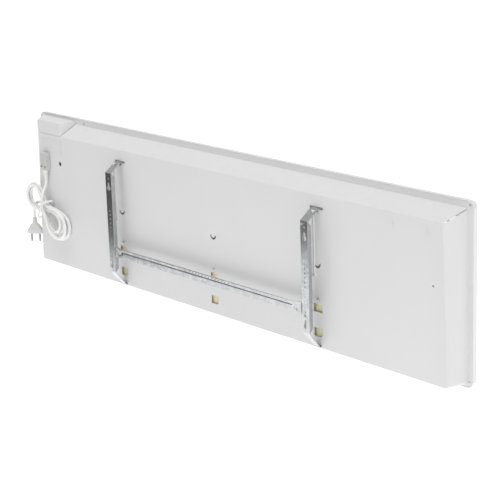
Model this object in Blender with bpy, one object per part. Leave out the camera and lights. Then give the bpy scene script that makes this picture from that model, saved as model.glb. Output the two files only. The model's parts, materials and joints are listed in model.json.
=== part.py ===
# A wall-hung panel convector heater with its wall bracket and tied mains lead.
# Metres, +Z up. The wall is the plane Y = 0 and the heater hangs in front of it, towards -Y.
# The origin lies on the wall side of the cross rail's lower band, midway between the strips.

import math

import bmesh
import bpy
import numpy as np
from mathutils import Matrix, Vector
from mathutils.geometry import interpolate_bezier

# Common fits
SHEET = 0.0010
GAP = 0.0003
HOLE_CLEARANCE = 0.0004
OVERRUN = 0.0020

# Where the heater hangs: its own frame has its zero at the middle of its back face
WALL_GAP = 0.0310
WALL_RAIL_DROP = 0.0774
SHELL_SHIFT = -0.0040
COLUMN_SPACING = 0.2990

# Rear shell, a folded pan with sloping walls and a flange
BACK_HEIGHT = 0.2900
BACK_WIDTH_TOP = 1.2100
BACK_SPREAD_LOW = 0.0100
BACK_CORNER = 0.0050
PAN_DEPTH = 0.0350
PAN_SIDE_SPREAD = 0.0240
PAN_MOUTH_TOP_RISE = 0.0240
PAN_MOUTH_LOW_LIFT = 0.0040
PAN_BEND = 0.0015
FLANGE_WIDTH = 0.0110
FLANGE_WIDTH_LOW = 0.0040

# Front panel, a shallow tray with a hemmed rim around the flange
HEM = 0.0020
RIM_DEPTH = 0.0110
RIM_LIP = 0.0005
TRAY_CORNER = 0.0130
FRONT_EDGE_ROUND = 0.0030
BOSS_DIAMETER = 0.0090
CORNER_STEPS = 4

# Outlet grille in the front panel
GRILLE_END_INSET = 0.0050
GRILLE_TO_CONTROLS = 0.0150
GRILLE_HEIGHT = 0.0480
GRILLE_DROP = 0.0150
GRILLE_THICKNESS = 0.0025
GRILLE_BORDER = 0.0040
GRILLE_BAR = 0.0035
GRILLE_BAYS = 18
GRILLE_SLOT_ROWS = 3

# Air intake slots in the pan's bottom wall
INTAKE_BAYS = 26
INTAKE_SLOT_LENGTH = 0.0320
INTAKE_SLOT_WIDTH = 0.0100
INTAKE_INSET = 0.0350

# Windows, half moons, hook slots and screw holes in the back, in three columns
WINDOW_WIDTH = 0.0230
WINDOW_UPPER_HEIGHT = 0.0160
WINDOW_UPPER_LIFT = 0.0770
WINDOW_LOWER_HEIGHT = 0.0165
WINDOW_LOWER_LIFT = 0.0298
WINDOW_CHAMFER = 0.0050
HALF_MOON_RADIUS = 0.0090
HALF_MOON_CUT = 0.0034
HALF_MOON_Z = 0.0170
TOP_SLOT_WIDTH = 0.0350
TOP_SLOT_HEIGHT = 0.0042
TOP_SLOT_DROP = 0.0240
TOP_NOTCH_WIDTH = 0.0100
TOP_NOTCH_HEIGHT = 0.0060
LOW_SLOT_HEIGHT = 0.0042
LOW_SLOT_LIFT = 0.0045
SUPPORT_SCREW_LIFT = 0.0935

# Control housing, label and the round hole beside it
HOUSING_WIDTH = 0.0865
HOUSING_SLANT = 0.0110
HOUSING_BACK_HEIGHT = 0.0280
HOUSING_RISE = 0.0030
HOUSING_WALL = 0.0016
LABEL_WIDTH = 0.0780
LABEL_HEIGHT = 0.0300
LABEL_INSET = 0.0495
LABEL_DROP = 0.0245
LABEL_THICKNESS = 0.0003
RESET_HOLE_DIAMETER = 0.0095
RESET_HOLE_INSET = 0.0801
RESET_HOLE_DROP = 0.0608
SPARE_HOLE_DIAMETER = 0.0038
SPARE_HOLE_INSET = 0.0222
SPARE_HOLE_DROP = 0.1130
TAB_INSETS = (0.1179, 0.0363)
TAB_DROP = 0.0218
TAB_WIDTH = 0.0060
TAB_HEIGHT = 0.0100
TAB_RISE = 0.0008
SEAM_WIDTH = 0.0011
SEAM_DEPTH = 0.0100
SEAM_END_SHARES = (0.04, 0.93)

# Cord entry block
ENTRY_INSET = 0.0322
ENTRY_WIDTH = 0.0220
ENTRY_TOP_DROP = 0.0410
ENTRY_HEIGHT = 0.0380
ENTRY_DEPTH = 0.0130
ENTRY_CORNER = 0.0060
ENTRY_EDGE = 0.0015
ENTRY_SCREW_SPACING = 0.0136
ENTRY_SCREW_RISE = 0.0080
ENTRY_RECESS_DEPTH = 0.0060

# Screws
SCREW_HEAD_DIAMETER = 0.0070
SCREW_HEAD_HEIGHT = 0.0020
SCREW_SHANK = 0.0036
SCREW_LENGTH = 0.0080
FLANGE_SCREW_DIAMETER = 0.0050
FLANGE_SCREW_HEIGHT = 0.0014
FLANGE_SCREW_SHANK = 0.0026
FLANGE_SCREW_LENGTH = 0.0060
ENTRY_SCREW_HEAD = 0.0046
ENTRY_SCREW_SHANK = 0.0026

# Bracket strips, channels with a hook at each end
STRIP_THICKNESS = 0.0015
STRIP_WIDTH = 0.0195
STRIP_FLANGE = 0.0085
STRIP_TOP_BEND_DROP = 0.0430
STRIP_LOW_BEND_LIFT = 0.0360
STRIP_LANDING = 0.0040
ARM_LANDING = 0.0040
HOOK_REACH = 0.0050
HOOK_RISE = 0.0045
HOOK_WIDTH = 0.0130
TONGUE_WIDTH = 0.0300
TONGUE_NECK = 0.0160
SMALL_HOLE = 0.0044
SMALL_HOLE_PITCH = 0.00875
SMALL_HOLE_COUNT = 6
KEYHOLE_HEAD = 0.0110
KEYHOLE_NECK = 0.0060
KEYHOLE_DROP = 0.0750
KEYHOLE_LENGTH = 0.0090
PEAR_LIFT = 0.0490
WING_LENGTH = 0.0340
WING_HEIGHT = 0.0160
RIVET_INSET = 0.0270

# Cross rail
RAIL_HEIGHT = 0.0188
RAIL_UPPER_BAND = 0.0050
RAIL_GROOVE = 0.0034
RAIL_GROOVE_DEPTH = 0.0022
RAIL_FLARE = 0.0040
RAIL_FLARE_LENGTH = 0.0200
RAIL_TOP_LIFT = 0.0900
TOOTH_COUNT = 14
TOOTH_PITCH = 0.0100
TOOTH_DEPTH = 0.0026
TOOTH_SHIFT = -0.0140
RIVET_DIAMETER = 0.0080
RIVET_SHANK = 0.0040
RIVET_HEAD = 0.0012

# Lock rods
ROD_OFFSET = 0.0044
ROD_WIDTH_TOP = 0.0030
ROD_WIDTH_LOW = 0.0045
ROD_FOOT_WIDTH = 0.0120
ROD_FOOT_HEIGHT = 0.0080
ROD_THICKNESS = 0.0026
ROD_STAND = 0.0105
ROD_LOW_Z = -0.0030
ROD_HEAD_HEIGHT = 0.0040
ROD_TRAVEL = 0.0080

# Heating element and its supports
ELEMENT_FAR_INSET = 0.0450
ELEMENT_NEAR_INSET = 0.1050
ELEMENT_HEIGHT = 0.0440
ELEMENT_DEPTH = 0.0240
ELEMENT_Y = -0.0240
ELEMENT_LIFT = 0.0530
ELEMENT_CORE = 0.0080
FIN_THICKNESS = 0.0014
FIN_COUNT = 8
TERMINAL_DIAMETER = 0.0070
TERMINAL_PIN = 0.0030
TERMINAL_LENGTH = 0.0140
TERMINAL_SPACING = 0.0220
SUPPORT_WIDTH = 0.0400
SUPPORT_THICKNESS = 0.0012
SUPPORT_STAND = 0.0028
SUPPORT_PAD = 0.0150
PRONG_LENGTH = 0.0200

# Controls
BOARD_WIDTH = 0.0800
BOARD_HEIGHT = 0.0280
BOARD_THICKNESS = 0.0016
PANEL_HEIGHT = 0.0300
PANEL_THICKNESS = 0.0020
PANEL_DROP = 0.0150
PANEL_SKIRT = 0.0080
DISPLAY_WIDTH = 0.0260
DISPLAY_HEIGHT = 0.0120
BUTTON_DIAMETER = 0.0100
BUTTON_GAP = 0.0060
BUTTON_ROOM_SHARE = 3.5
BUTTON_PROUD = 0.0010
BUTTON_STEM = 0.0050
BUTTON_TRAVEL = 0.0015
CUTOUT_DIAMETER = 0.0180
CUTOUT_HEIGHT = 0.0090
BLOCK_WIDTH = 0.0260
BLOCK_HEIGHT = 0.0340
BLOCK_DEPTH = 0.0140
SENSOR_DIAMETER = 0.0060
SENSOR_LENGTH = 0.0160
WIRE_DIAMETER = 0.0030
WIRE_POINTS = 20

# Mains lead, its strain relief, hank, tie and plug
CORD_DIAMETER = 0.0065
RELIEF_LENGTH = 0.0200
RELIEF_TOP_DIAMETER = 0.0120
RELIEF_LOW_DIAMETER = 0.0094
RELIEF_Y = 0.0068
LEAD_POINTS = 22
HANK_LENGTH = 0.1600
HANK_SPREAD = 0.0688
HANK_PINCH = 0.0145
HANK_TURNS = 2
HANK_STEP = 0.0078
HANK_LAYER = 0.0070
HANK_POINTS_PER_TURN = 24
HANK_INSET = 0.0350
HANK_CENTRE_Y = 0.0151
HANK_DROP = 0.1660
HANK_TILT = math.radians(31.0)
NEIGHBOUR_SHARE = 3.0
END_FOLD_RADIUS = 0.0270
TAIL_POINTS = 28
TIE_WIDTH = 0.0060
TIE_THICKNESS = 0.0006
TIE_SLACK = 0.0010
PLUG_OUTSET = 0.0275
PLUG_Y = 0.0046
PLUG_TOP_DROP = 0.1980
PLUG_WIDTH = 0.0353
PLUG_THICKNESS = 0.0140
PLUG_LENGTH = 0.0360
PLUG_NECK_DIAMETER = 0.0100
PIN_DIAMETER = 0.0048
PIN_LENGTH = 0.0190
PIN_SPACING = 0.0190
PLUG_TURN = math.radians(38.0)


# Working values
BACK_TOP = BACK_HEIGHT / 2
BACK_FOOT = -BACK_HEIGHT / 2
PAN_MOUTH_TOP = BACK_TOP + PAN_MOUTH_TOP_RISE
GRILLE_CENTRE_Z = BACK_TOP - GRILLE_DROP
PANEL_CENTRE_Z = BACK_TOP - PANEL_DROP
LABEL_Z = BACK_TOP - LABEL_DROP
RESET_HOLE_Z = BACK_TOP - RESET_HOLE_DROP
ENTRY_TOP = BACK_TOP - ENTRY_TOP_DROP
TOP_SLOT_Z = BACK_TOP - TOP_SLOT_DROP
STRIP_TOP_BEND = BACK_TOP - STRIP_TOP_BEND_DROP
KEYHOLE_Z = BACK_TOP - KEYHOLE_DROP
HANK_CENTRE_Z = BACK_TOP - HANK_DROP
PLUG_TOP_Z = BACK_TOP - PLUG_TOP_DROP
PAN_MOUTH_LOW = BACK_FOOT + PAN_MOUTH_LOW_LIFT
WINDOW_UPPER_Z = BACK_FOOT + WINDOW_UPPER_LIFT
WINDOW_LOWER_Z = BACK_FOOT + WINDOW_LOWER_LIFT
LOW_SLOT_Z = BACK_FOOT + LOW_SLOT_LIFT
SUPPORT_SCREW_Z = BACK_FOOT + SUPPORT_SCREW_LIFT
ELEMENT_Z = BACK_FOOT + ELEMENT_LIFT
STRIP_LOW_BEND = BACK_FOOT + STRIP_LOW_BEND_LIFT
RAIL_TOP_Z = BACK_FOOT + RAIL_TOP_LIFT
PEAR_Z = BACK_FOOT + PEAR_LIFT
BACK_MIDDLE_HEIGHT = BACK_TOP - WALL_RAIL_DROP
SHELL_ORIGIN = Vector((SHELL_SHIFT, -WALL_GAP, BACK_MIDDLE_HEIGHT))
COLUMNS = (COLUMN_SPACING - SHELL_SHIFT, -SHELL_SHIFT, -COLUMN_SPACING - SHELL_SHIFT)
HINGE_Y = -SHEET / 2
HINGE_PLACE = Vector((-SHELL_SHIFT, HINGE_Y, LOW_SLOT_Z + LOW_SLOT_HEIGHT / 2))
HINGE = SHELL_ORIGIN + HINGE_PLACE
BACK_WIDTH_LOW = BACK_WIDTH_TOP + 2 * BACK_SPREAD_LOW
PAN_MOUTH_WIDTH = BACK_WIDTH_TOP + 2 * PAN_SIDE_SPREAD
BACK_END = BACK_WIDTH_TOP / 2
HOUSING_INNER_X = BACK_END - HOUSING_WIDTH
LABEL_X = BACK_END - LABEL_INSET
RESET_HOLE_X = BACK_END - RESET_HOLE_INSET
ENTRY_X = BACK_END - ENTRY_INSET
BUTTON_SPACING = BUTTON_DIAMETER + BUTTON_GAP
PANEL_WIDTH = PANEL_SKIRT + DISPLAY_WIDTH + BUTTON_ROOM_SHARE * BUTTON_SPACING
PANEL_CENTRE_X = BACK_END - PANEL_WIDTH / 2
HANK_CENTRE_X = BACK_END - HANK_INSET
PLUG_X = BACK_END + PLUG_OUTSET
GRILLE_LEFT = GRILLE_END_INSET - BACK_END
GRILLE_RIGHT = PANEL_CENTRE_X - PANEL_WIDTH / 2 - GRILLE_TO_CONTROLS
GRILLE_WIDTH = GRILLE_RIGHT - GRILLE_LEFT
GRILLE_CENTRE_X = (GRILLE_RIGHT + GRILLE_LEFT) / 2
INTAKE_SPAN = BACK_WIDTH_TOP - 2 * INTAKE_INSET
ELEMENT_LENGTH = BACK_WIDTH_TOP - ELEMENT_FAR_INSET - ELEMENT_NEAR_INSET
ELEMENT_CENTRE_X = (ELEMENT_FAR_INSET - ELEMENT_NEAR_INSET) / 2
TRAY_TOP = PAN_MOUTH_TOP + FLANGE_WIDTH + GAP + HEM
TRAY_LOW = PAN_MOUTH_LOW - FLANGE_WIDTH_LOW - GAP - HEM
TRAY_HALF = PAN_MOUTH_WIDTH / 2 + FLANGE_WIDTH + GAP + HEM
FRONT_Y = -PAN_DEPTH + RIM_LIP - RIM_DEPTH
FLANGE_FRONT_Y = -PAN_DEPTH - SHEET
TRAY_INNER_Y = FRONT_Y + SHEET
ROUND_SHARES = (0.0, 0.293, 1.0)
DOWN = Vector((0.0, 0.0, -1.0))


# Materials

def material(name, colour, roughness, metallic=0.0):
    made = bpy.data.materials.new(name)
    made.use_nodes = True
    shader = made.node_tree.nodes["Principled BSDF"]
    shader.inputs["Base Color"].default_value = (*colour, 1.0)
    shader.inputs["Roughness"].default_value = roughness
    shader.inputs["Metallic"].default_value = metallic
    made.diffuse_color = (*colour, 1.0)
    return made


WHITE_ENAMEL = ((0.78, 0.78, 0.77), 0.42)
WHITE_PLASTIC = ((0.80, 0.80, 0.79), 0.5)
WHITE_PVC = ((0.82, 0.82, 0.80), 0.45)
GREY_PLASTIC = ((0.56, 0.58, 0.60), 0.5)
DARK_PLASTIC = ((0.03, 0.03, 0.035), 0.35)
GALVANISED = ((0.62, 0.64, 0.66), 0.38, 0.9)
YELLOW_ZINC = ((0.66, 0.56, 0.30), 0.42, 0.8)
BRIGHT_STEEL = ((0.72, 0.72, 0.72), 0.3, 1.0)
ALUMINIUM = ((0.66, 0.67, 0.68), 0.35, 1.0)
CERAMIC = ((0.72, 0.68, 0.60), 0.6)
BOARD_GREEN = ((0.05, 0.16, 0.08), 0.5)
LABEL_PAPER = ((0.74, 0.75, 0.76), 0.55)
WIRE_BROWN = ((0.20, 0.09, 0.04), 0.45)
WIRE_BLUE = ((0.05, 0.14, 0.42), 0.45)


# Objects and mesh building

def empty(name, at, parent=None):
    made = bpy.data.objects.new(name, None)
    bpy.context.scene.collection.objects.link(made)
    made.parent = parent
    made.location = at
    return made


def add(name, shape, finish, parent, at=(0.0, 0.0, 0.0), turn=0.0):
    shape.normal_update()
    bmesh.ops.recalc_face_normals(shape, faces=shape.faces)
    data = bpy.data.meshes.new(name)
    shape.to_mesh(data)
    shape.free()
    made = bpy.data.objects.new(name, data)
    bpy.context.scene.collection.objects.link(made)
    made.parent = parent
    made.location = at
    made.rotation_euler = (0.0, 0.0, turn)
    if finish is not None:
        data.materials.append(material(name, *finish))
    return made


def cut(target, shape, operation="DIFFERENCE"):
    cutter = add(f"{target.name}_cutter_{len(target.modifiers)}", shape, None, target)
    cutter.hide_render = True
    cutter.display_type = "WIRE"
    change = target.modifiers.new("shape", "BOOLEAN")
    change.operation = operation
    change.solver = "EXACT"
    change.object = cutter


def bridge_rings(rings, shape=None):
    shape = shape or bmesh.new()
    made = [[shape.verts.new(point) for point in ring] for ring in rings]
    for near, far in zip(made, made[1:]):
        for index, corner in enumerate(near):
            following = (index + 1) % len(near)
            shape.faces.new((corner, near[following], far[following], far[index]))
    shape.faces.new(made[0])
    shape.faces.new(list(reversed(made[-1])))
    return shape


def prism(outline, start, end, axis="Y", shape=None):
    def lift(point, level):
        across, along = point
        places = {"X": (level, across, along), "Y": (across, level, along), "Z": (across, along, level)}
        return Vector(places[axis])
    rings = [[lift(point, level) for point in outline] for level in (start, end)]
    return bridge_rings(rings, shape)


def box(low, high, shape=None):
    outline = [(low[0], low[2]), (high[0], low[2]), (high[0], high[2]), (low[0], high[2])]
    return prism(outline, low[1], high[1], "Y", shape)


def slab(centre, size, shape=None):
    low = [middle - side / 2 for middle, side in zip(centre, size)]
    high = [middle + side / 2 for middle, side in zip(centre, size)]
    return box(low, high, shape)


def circle(centre, diameter, steps=12, start=0.0):
    angles = [start + math.tau * step / steps for step in range(steps)]
    radius = diameter / 2
    return [(centre[0] + radius * math.cos(a), centre[1] + radius * math.sin(a)) for a in angles]


def rounded_rectangle(left, right, low, high, radius, steps=CORNER_STEPS, low_spread=0.0):
    corners = (
        (right + low_spread - radius, low + radius, -math.pi / 2),
        (right - radius, high - radius, 0.0),
        (left + radius, high - radius, math.pi / 2),
        (left - low_spread + radius, low + radius, math.pi),
    )
    points = []
    for x, z, start in corners:
        for step in range(steps):
            angle = start + math.pi / 2 * step / (steps - 1)
            points.append((x + radius * math.cos(angle), z + radius * math.sin(angle)))
    return points


def ring_at(y, outline):
    return [Vector((x, y, z)) for x, z in outline]


def turned(profile, axis="Y", steps=12, shape=None):
    rings = []
    for radius, level in profile:
        points = circle((0.0, 0.0), 2 * radius, steps)
        places = {
            "X": [Vector((level, a, b)) for a, b in points],
            "Y": [Vector((a, level, b)) for a, b in points],
            "Z": [Vector((a, b, level)) for a, b in points],
        }
        rings.append(places[axis])
    return bridge_rings(rings, shape)


def screw_shape(head, head_height, shank, length):
    profile = (
        (shank / 2, -length),
        (shank / 2, 0.0),
        (head / 2, 0.0),
        (head / 2, head_height / 2),
        (head / 4, head_height),
    )
    return turned(profile)


def smooth(made, angle_share=0.2):
    made.data.shade_smooth()
    made.data.set_sharp_from_angle(angle=math.pi * angle_share)


def tube(name, points, diameter, finish, parent, resolution):
    data = bpy.data.curves.new(name, "CURVE")
    data.dimensions = "3D"
    data.bevel_depth = diameter / 2
    data.bevel_resolution = resolution
    data.use_fill_caps = True
    spline = data.splines.new("POLY")
    spline.points.add(len(points) - 1)
    for index, point in enumerate(points):
        spline.points[index].co = (*point, 1.0)
    data.materials.append(material(name, *finish))
    made = bpy.data.objects.new(name, data)
    bpy.context.scene.collection.objects.link(made)
    made.parent = parent
    return made


def route_slopes(places):
    lengths = [(far - near).length for near, far in zip(places, places[1:])]
    slopes = [(places[1] - places[0]) / lengths[0]]
    for index in range(1, len(places) - 1):
        near, far = lengths[index - 1], lengths[index]
        came = (places[index] - places[index - 1]) / near
        goes = (places[index + 1] - places[index]) / far
        slopes.append((came * far + goes * near) / (near + far))
    slopes.append((places[-1] - places[-2]) / lengths[-1])
    return lengths, slopes


def straight_ended_route(start, leaving, between, end, arriving, straight, count):
    places = [start + leaving * straight] + between + [end - arriving * straight]
    return [start] + smooth_route(places, count, leaving, arriving) + [end]


def smooth_route(points, count, leaving=None, arriving=None):
    places = [Vector(point) for point in points]
    lengths, slopes = route_slopes(places)
    slopes[0] = leaving or slopes[0]
    slopes[-1] = arriving or slopes[-1]
    fine = []
    for index, length in enumerate(lengths):
        start, end = places[index], places[index + 1]
        first = start + slopes[index] * length / 3
        second = end - slopes[index + 1] * length / 3
        fine += interpolate_bezier(start, first, second, end, 24)[:-1]
    fine.append(places[-1])
    steps = [0.0]
    for near, far in zip(fine, fine[1:]):
        steps.append(steps[-1] + (far - near).length)
    spots = np.linspace(0.0, steps[-1], count)
    columns = [np.interp(spots, steps, [place[axis] for place in fine]) for axis in range(3)]
    return [Vector(place) for place in zip(*columns)]


# Heater body

def shell_outline(y, inset):
    share = -y / PAN_DEPTH
    def edge(back, mouth):
        return back + (mouth - back) * share - inset * math.hypot(1, (mouth - back) / PAN_DEPTH)
    half_top = edge(BACK_WIDTH_TOP / 2, PAN_MOUTH_WIDTH / 2)
    half_low = edge(BACK_WIDTH_LOW / 2, PAN_MOUTH_WIDTH / 2)
    top = edge(BACK_HEIGHT / 2, PAN_MOUTH_TOP)
    low = -edge(BACK_HEIGHT / 2, -PAN_MOUTH_LOW)
    return rounded_rectangle(
        -half_top, half_top, low, top, BACK_CORNER, low_spread=half_low - half_top
    )


def flange_outline(inset=0.0):
    half = PAN_MOUTH_WIDTH / 2 + FLANGE_WIDTH - inset
    return rounded_rectangle(
        -half,
        half,
        PAN_MOUTH_LOW - FLANGE_WIDTH_LOW + inset,
        PAN_MOUTH_TOP + FLANGE_WIDTH - inset,
        TRAY_CORNER - HEM - inset,
    )


def flange_screw_places():
    side = PAN_MOUTH_WIDTH / 2 + FLANGE_WIDTH / 2
    top = PAN_MOUTH_TOP + FLANGE_WIDTH / 2
    low = PAN_MOUTH_LOW + FLANGE_WIDTH_LOW
    beside_housing = HOUSING_INNER_X - HOUSING_SLANT - 3 * FLANGE_WIDTH
    return ((beside_housing, top), (-side, top), (-side, low), (side, low))


def window_outline(column, middle, height, chamfer):
    left = column - WINDOW_WIDTH / 2
    right = column + WINDOW_WIDTH / 2
    low = middle - height / 2
    high = middle + height / 2
    return [(left + chamfer, low), (right, low), (right, high), (left, high), (left, low + chamfer)]


def half_moon_outline(column):
    outer, inner = [], []
    for step in range(9):
        angle = math.pi + math.pi * step / 8
        across, down = math.cos(angle), math.sin(angle)
        outer.append((column + HALF_MOON_RADIUS * across, HALF_MOON_Z + HALF_MOON_RADIUS * down))
        reach = HALF_MOON_RADIUS - HALF_MOON_CUT
        inner.append((column + reach * across, HALF_MOON_Z + reach * down))
    return outer + inner[::-1]


def top_slot_outline(column):
    half = TOP_SLOT_WIDTH / 2
    notch = TOP_NOTCH_WIDTH / 2
    high = TOP_SLOT_Z + TOP_SLOT_HEIGHT / 2
    low = TOP_SLOT_Z - TOP_SLOT_HEIGHT / 2
    foot = low - TOP_NOTCH_HEIGHT
    return [
        (column + notch, foot), (column + notch, low), (column + half, low), (column + half, high),
        (column - half, high), (column - half, low), (column - notch, low), (column - notch, foot),
    ]


def low_slot_outline(column):
    half = HOOK_WIDTH / 2 + HOLE_CLEARANCE
    low = LOW_SLOT_Z - LOW_SLOT_HEIGHT / 2
    high = LOW_SLOT_Z + LOW_SLOT_HEIGHT / 2
    return [(column - half, low), (column + half, low), (column + half, high), (column - half, high)]


def back_openings():
    outlines = []
    for column in COLUMNS:
        outlines.append(window_outline(column, WINDOW_UPPER_Z, WINDOW_UPPER_HEIGHT, GAP))
        outlines.append(window_outline(column, WINDOW_LOWER_Z, WINDOW_LOWER_HEIGHT, WINDOW_CHAMFER))
        outlines.append(half_moon_outline(column))
        outlines.append(circle((column, SUPPORT_SCREW_Z), SCREW_SHANK + 2 * HOLE_CLEARANCE, 8))
    for column in (COLUMNS[0], COLUMNS[-1]):
        outlines.append(top_slot_outline(column))
        outlines.append(low_slot_outline(column))
    outlines.append(circle((RESET_HOLE_X, RESET_HOLE_Z), RESET_HOLE_DIAMETER))
    outlines.append(circle((ENTRY_X, ENTRY_TOP - ENTRY_WIDTH / 2), ENTRY_WIDTH / 2))
    outlines.append(circle((SPARE_HOLE_INSET - BACK_END, BACK_TOP - SPARE_HOLE_DROP), SPARE_HOLE_DIAMETER, 8))
    return outlines


def corner_seam():
    start = Vector((-BACK_WIDTH_TOP / 2, 0.0, BACK_HEIGHT / 2))
    run = Vector((-PAN_MOUTH_WIDTH / 2, -PAN_DEPTH, PAN_MOUTH_TOP)) - start
    along = run.normalized()
    outward = Vector((-1.0, 0.0, 1.0))
    outward = (outward - along * outward.dot(along)).normalized() * SEAM_DEPTH / 2
    across = along.cross(outward).normalized() * SEAM_WIDTH / 2
    rings = []
    for share in SEAM_END_SHARES:
        middle = start + run * share
        rings.append([
            middle - across - outward, middle + across - outward,
            middle + across + outward, middle - across + outward,
        ])
    seam = bridge_rings(rings)
    bmesh.ops.recalc_face_normals(seam, faces=seam.faces[:])
    return seam


def make_rear_shell(heater):
    back_bend = [
        ring_at(-PAN_BEND * share, shell_outline(-PAN_BEND * share, PAN_BEND * far_share))
        for share, far_share in zip(ROUND_SHARES, reversed(ROUND_SHARES))
    ]
    rings = back_bend + [
        ring_at(-PAN_DEPTH, shell_outline(-PAN_DEPTH, 0.0)),
        ring_at(-PAN_DEPTH, flange_outline()),
        ring_at(FLANGE_FRONT_Y, flange_outline()),
        ring_at(FLANGE_FRONT_Y, shell_outline(FLANGE_FRONT_Y, SHEET)),
        ring_at(-SHEET - PAN_BEND, shell_outline(-SHEET - PAN_BEND, SHEET)),
        ring_at(-SHEET, shell_outline(-SHEET, SHEET + PAN_BEND)),
    ]
    shell = add("rear_shell", bridge_rings(rings), WHITE_ENAMEL, heater, -HINGE_PLACE)
    holes = bmesh.new()
    for outline in back_openings():
        prism(outline, -SHEET - OVERRUN, OVERRUN, "Y", holes)
    cut(shell, holes)
    flange_holes = bmesh.new()
    for place in flange_screw_places():
        hole = circle(place, FLANGE_SCREW_SHANK + 2 * HOLE_CLEARANCE, 8)
        prism(hole, FLANGE_FRONT_Y - OVERRUN, -PAN_DEPTH + OVERRUN, "Y", flange_holes)
    cut(shell, flange_holes)
    slots = bmesh.new()
    pitch = INTAKE_SPAN / INTAKE_BAYS
    for bay in range(INTAKE_BAYS):
        middle = (bay + 0.5) * pitch - INTAKE_SPAN / 2
        low = (middle - INTAKE_SLOT_LENGTH / 2, -PAN_DEPTH / 2 - INTAKE_SLOT_WIDTH / 2,
               -BACK_HEIGHT / 2 - OVERRUN)
        high = (middle + INTAKE_SLOT_LENGTH / 2, -PAN_DEPTH / 2 + INTAKE_SLOT_WIDTH / 2,
                PAN_MOUTH_LOW + OVERRUN)
        box(low, high, slots)
    cut(shell, slots)
    pass_through = bmesh.new()
    middle_x = HOUSING_INNER_X + (BACK_WIDTH_TOP / 2 - HOUSING_INNER_X) / 2
    top_middle = (BACK_HEIGHT / 2 + PAN_MOUTH_TOP) / 2
    slab((middle_x, -PAN_DEPTH / 2, top_middle), (ENTRY_WIDTH * 2, PAN_DEPTH / 4, PAN_DEPTH), pass_through)
    cut(shell, pass_through)
    cut(shell, corner_seam())
    tabs = bmesh.new()
    for inset in TAB_INSETS:
        tab_size = (TAB_WIDTH, TAB_RISE + SHEET / 2, TAB_HEIGHT)
        slab((inset - BACK_END, (TAB_RISE - SHEET / 2) / 2, BACK_TOP - TAB_DROP), tab_size, tabs)
    cut(shell, tabs, "UNION")
    return shell


def tray_outline(inset):
    return rounded_rectangle(
        -TRAY_HALF + inset,
        TRAY_HALF - inset,
        TRAY_LOW + inset,
        TRAY_TOP - inset,
        TRAY_CORNER - inset,
    )


def opening_outline(centre_x, centre_z, width, height, inset=0.0):
    left = centre_x - width / 2 + inset
    right = centre_x + width / 2 - inset
    low = centre_z - height / 2 + inset
    high = centre_z + height / 2 - inset
    return [(left, low), (right, low), (right, high), (left, high)]


def make_front_panel(heater):
    rear_y = -PAN_DEPTH + RIM_LIP
    front_round = [
        ring_at(FRONT_Y + FRONT_EDGE_ROUND * far_share, tray_outline(FRONT_EDGE_ROUND * share))
        for share, far_share in zip(ROUND_SHARES, reversed(ROUND_SHARES))
    ]
    rings = [
        ring_at(TRAY_INNER_Y, tray_outline(HEM + SHEET)),
        ring_at(TRAY_INNER_Y + SHEET, tray_outline(HEM)),
        ring_at(rear_y, tray_outline(HEM)),
        ring_at(rear_y, tray_outline(0.0)),
    ] + front_round
    tray = add("front_panel", bridge_rings(rings), WHITE_ENAMEL, heater, -HINGE_PLACE)
    bosses = bmesh.new()
    for place in flange_screw_places():
        outline = circle(place, BOSS_DIAMETER)
        prism(outline, FRONT_Y + SHEET / 2, FLANGE_FRONT_Y - GAP, "Y", bosses)
    cut(tray, bosses, "UNION")
    holes = bmesh.new()
    for place in flange_screw_places():
        outline = circle(place, FLANGE_SCREW_SHANK + 2 * GAP, 8)
        prism(outline, -PAN_DEPTH - FLANGE_SCREW_LENGTH - GAP, -PAN_DEPTH, "Y", holes)
    prism(opening_outline(GRILLE_CENTRE_X, GRILLE_CENTRE_Z, GRILLE_WIDTH, GRILLE_HEIGHT),
          FRONT_Y - OVERRUN, TRAY_INNER_Y + OVERRUN, "Y", holes)
    prism(opening_outline(PANEL_CENTRE_X, PANEL_CENTRE_Z, PANEL_WIDTH, PANEL_HEIGHT),
          FRONT_Y - OVERRUN, TRAY_INNER_Y + OVERRUN, "Y", holes)
    cut(tray, holes)
    return tray


def make_outlet_grille(heater):
    outline = opening_outline(GRILLE_CENTRE_X, GRILLE_CENTRE_Z, GRILLE_WIDTH, GRILLE_HEIGHT, GAP)
    front = FRONT_Y
    shape = prism(outline, front + GRILLE_THICKNESS, front)
    grille = add("outlet_grille", shape, WHITE_ENAMEL, heater, -HINGE_PLACE)
    slots = bmesh.new()
    bay_pitch = (GRILLE_WIDTH - 2 * GRILLE_BORDER) / GRILLE_BAYS
    row_pitch = (GRILLE_HEIGHT - 2 * GRILLE_BORDER) / GRILLE_SLOT_ROWS
    for bay in range(GRILLE_BAYS):
        x = GRILLE_CENTRE_X - GRILLE_WIDTH / 2 + GRILLE_BORDER + (bay + 0.5) * bay_pitch
        for row in range(GRILLE_SLOT_ROWS):
            z = GRILLE_CENTRE_Z - GRILLE_HEIGHT / 2 + GRILLE_BORDER + (row + 0.5) * row_pitch
            size = (bay_pitch - GRILLE_BAR, 2 * GRILLE_THICKNESS + 2 * OVERRUN, row_pitch - GRILLE_BAR)
            slab((x, front, z), size, slots)
    cut(grille, slots)
    return grille


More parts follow.
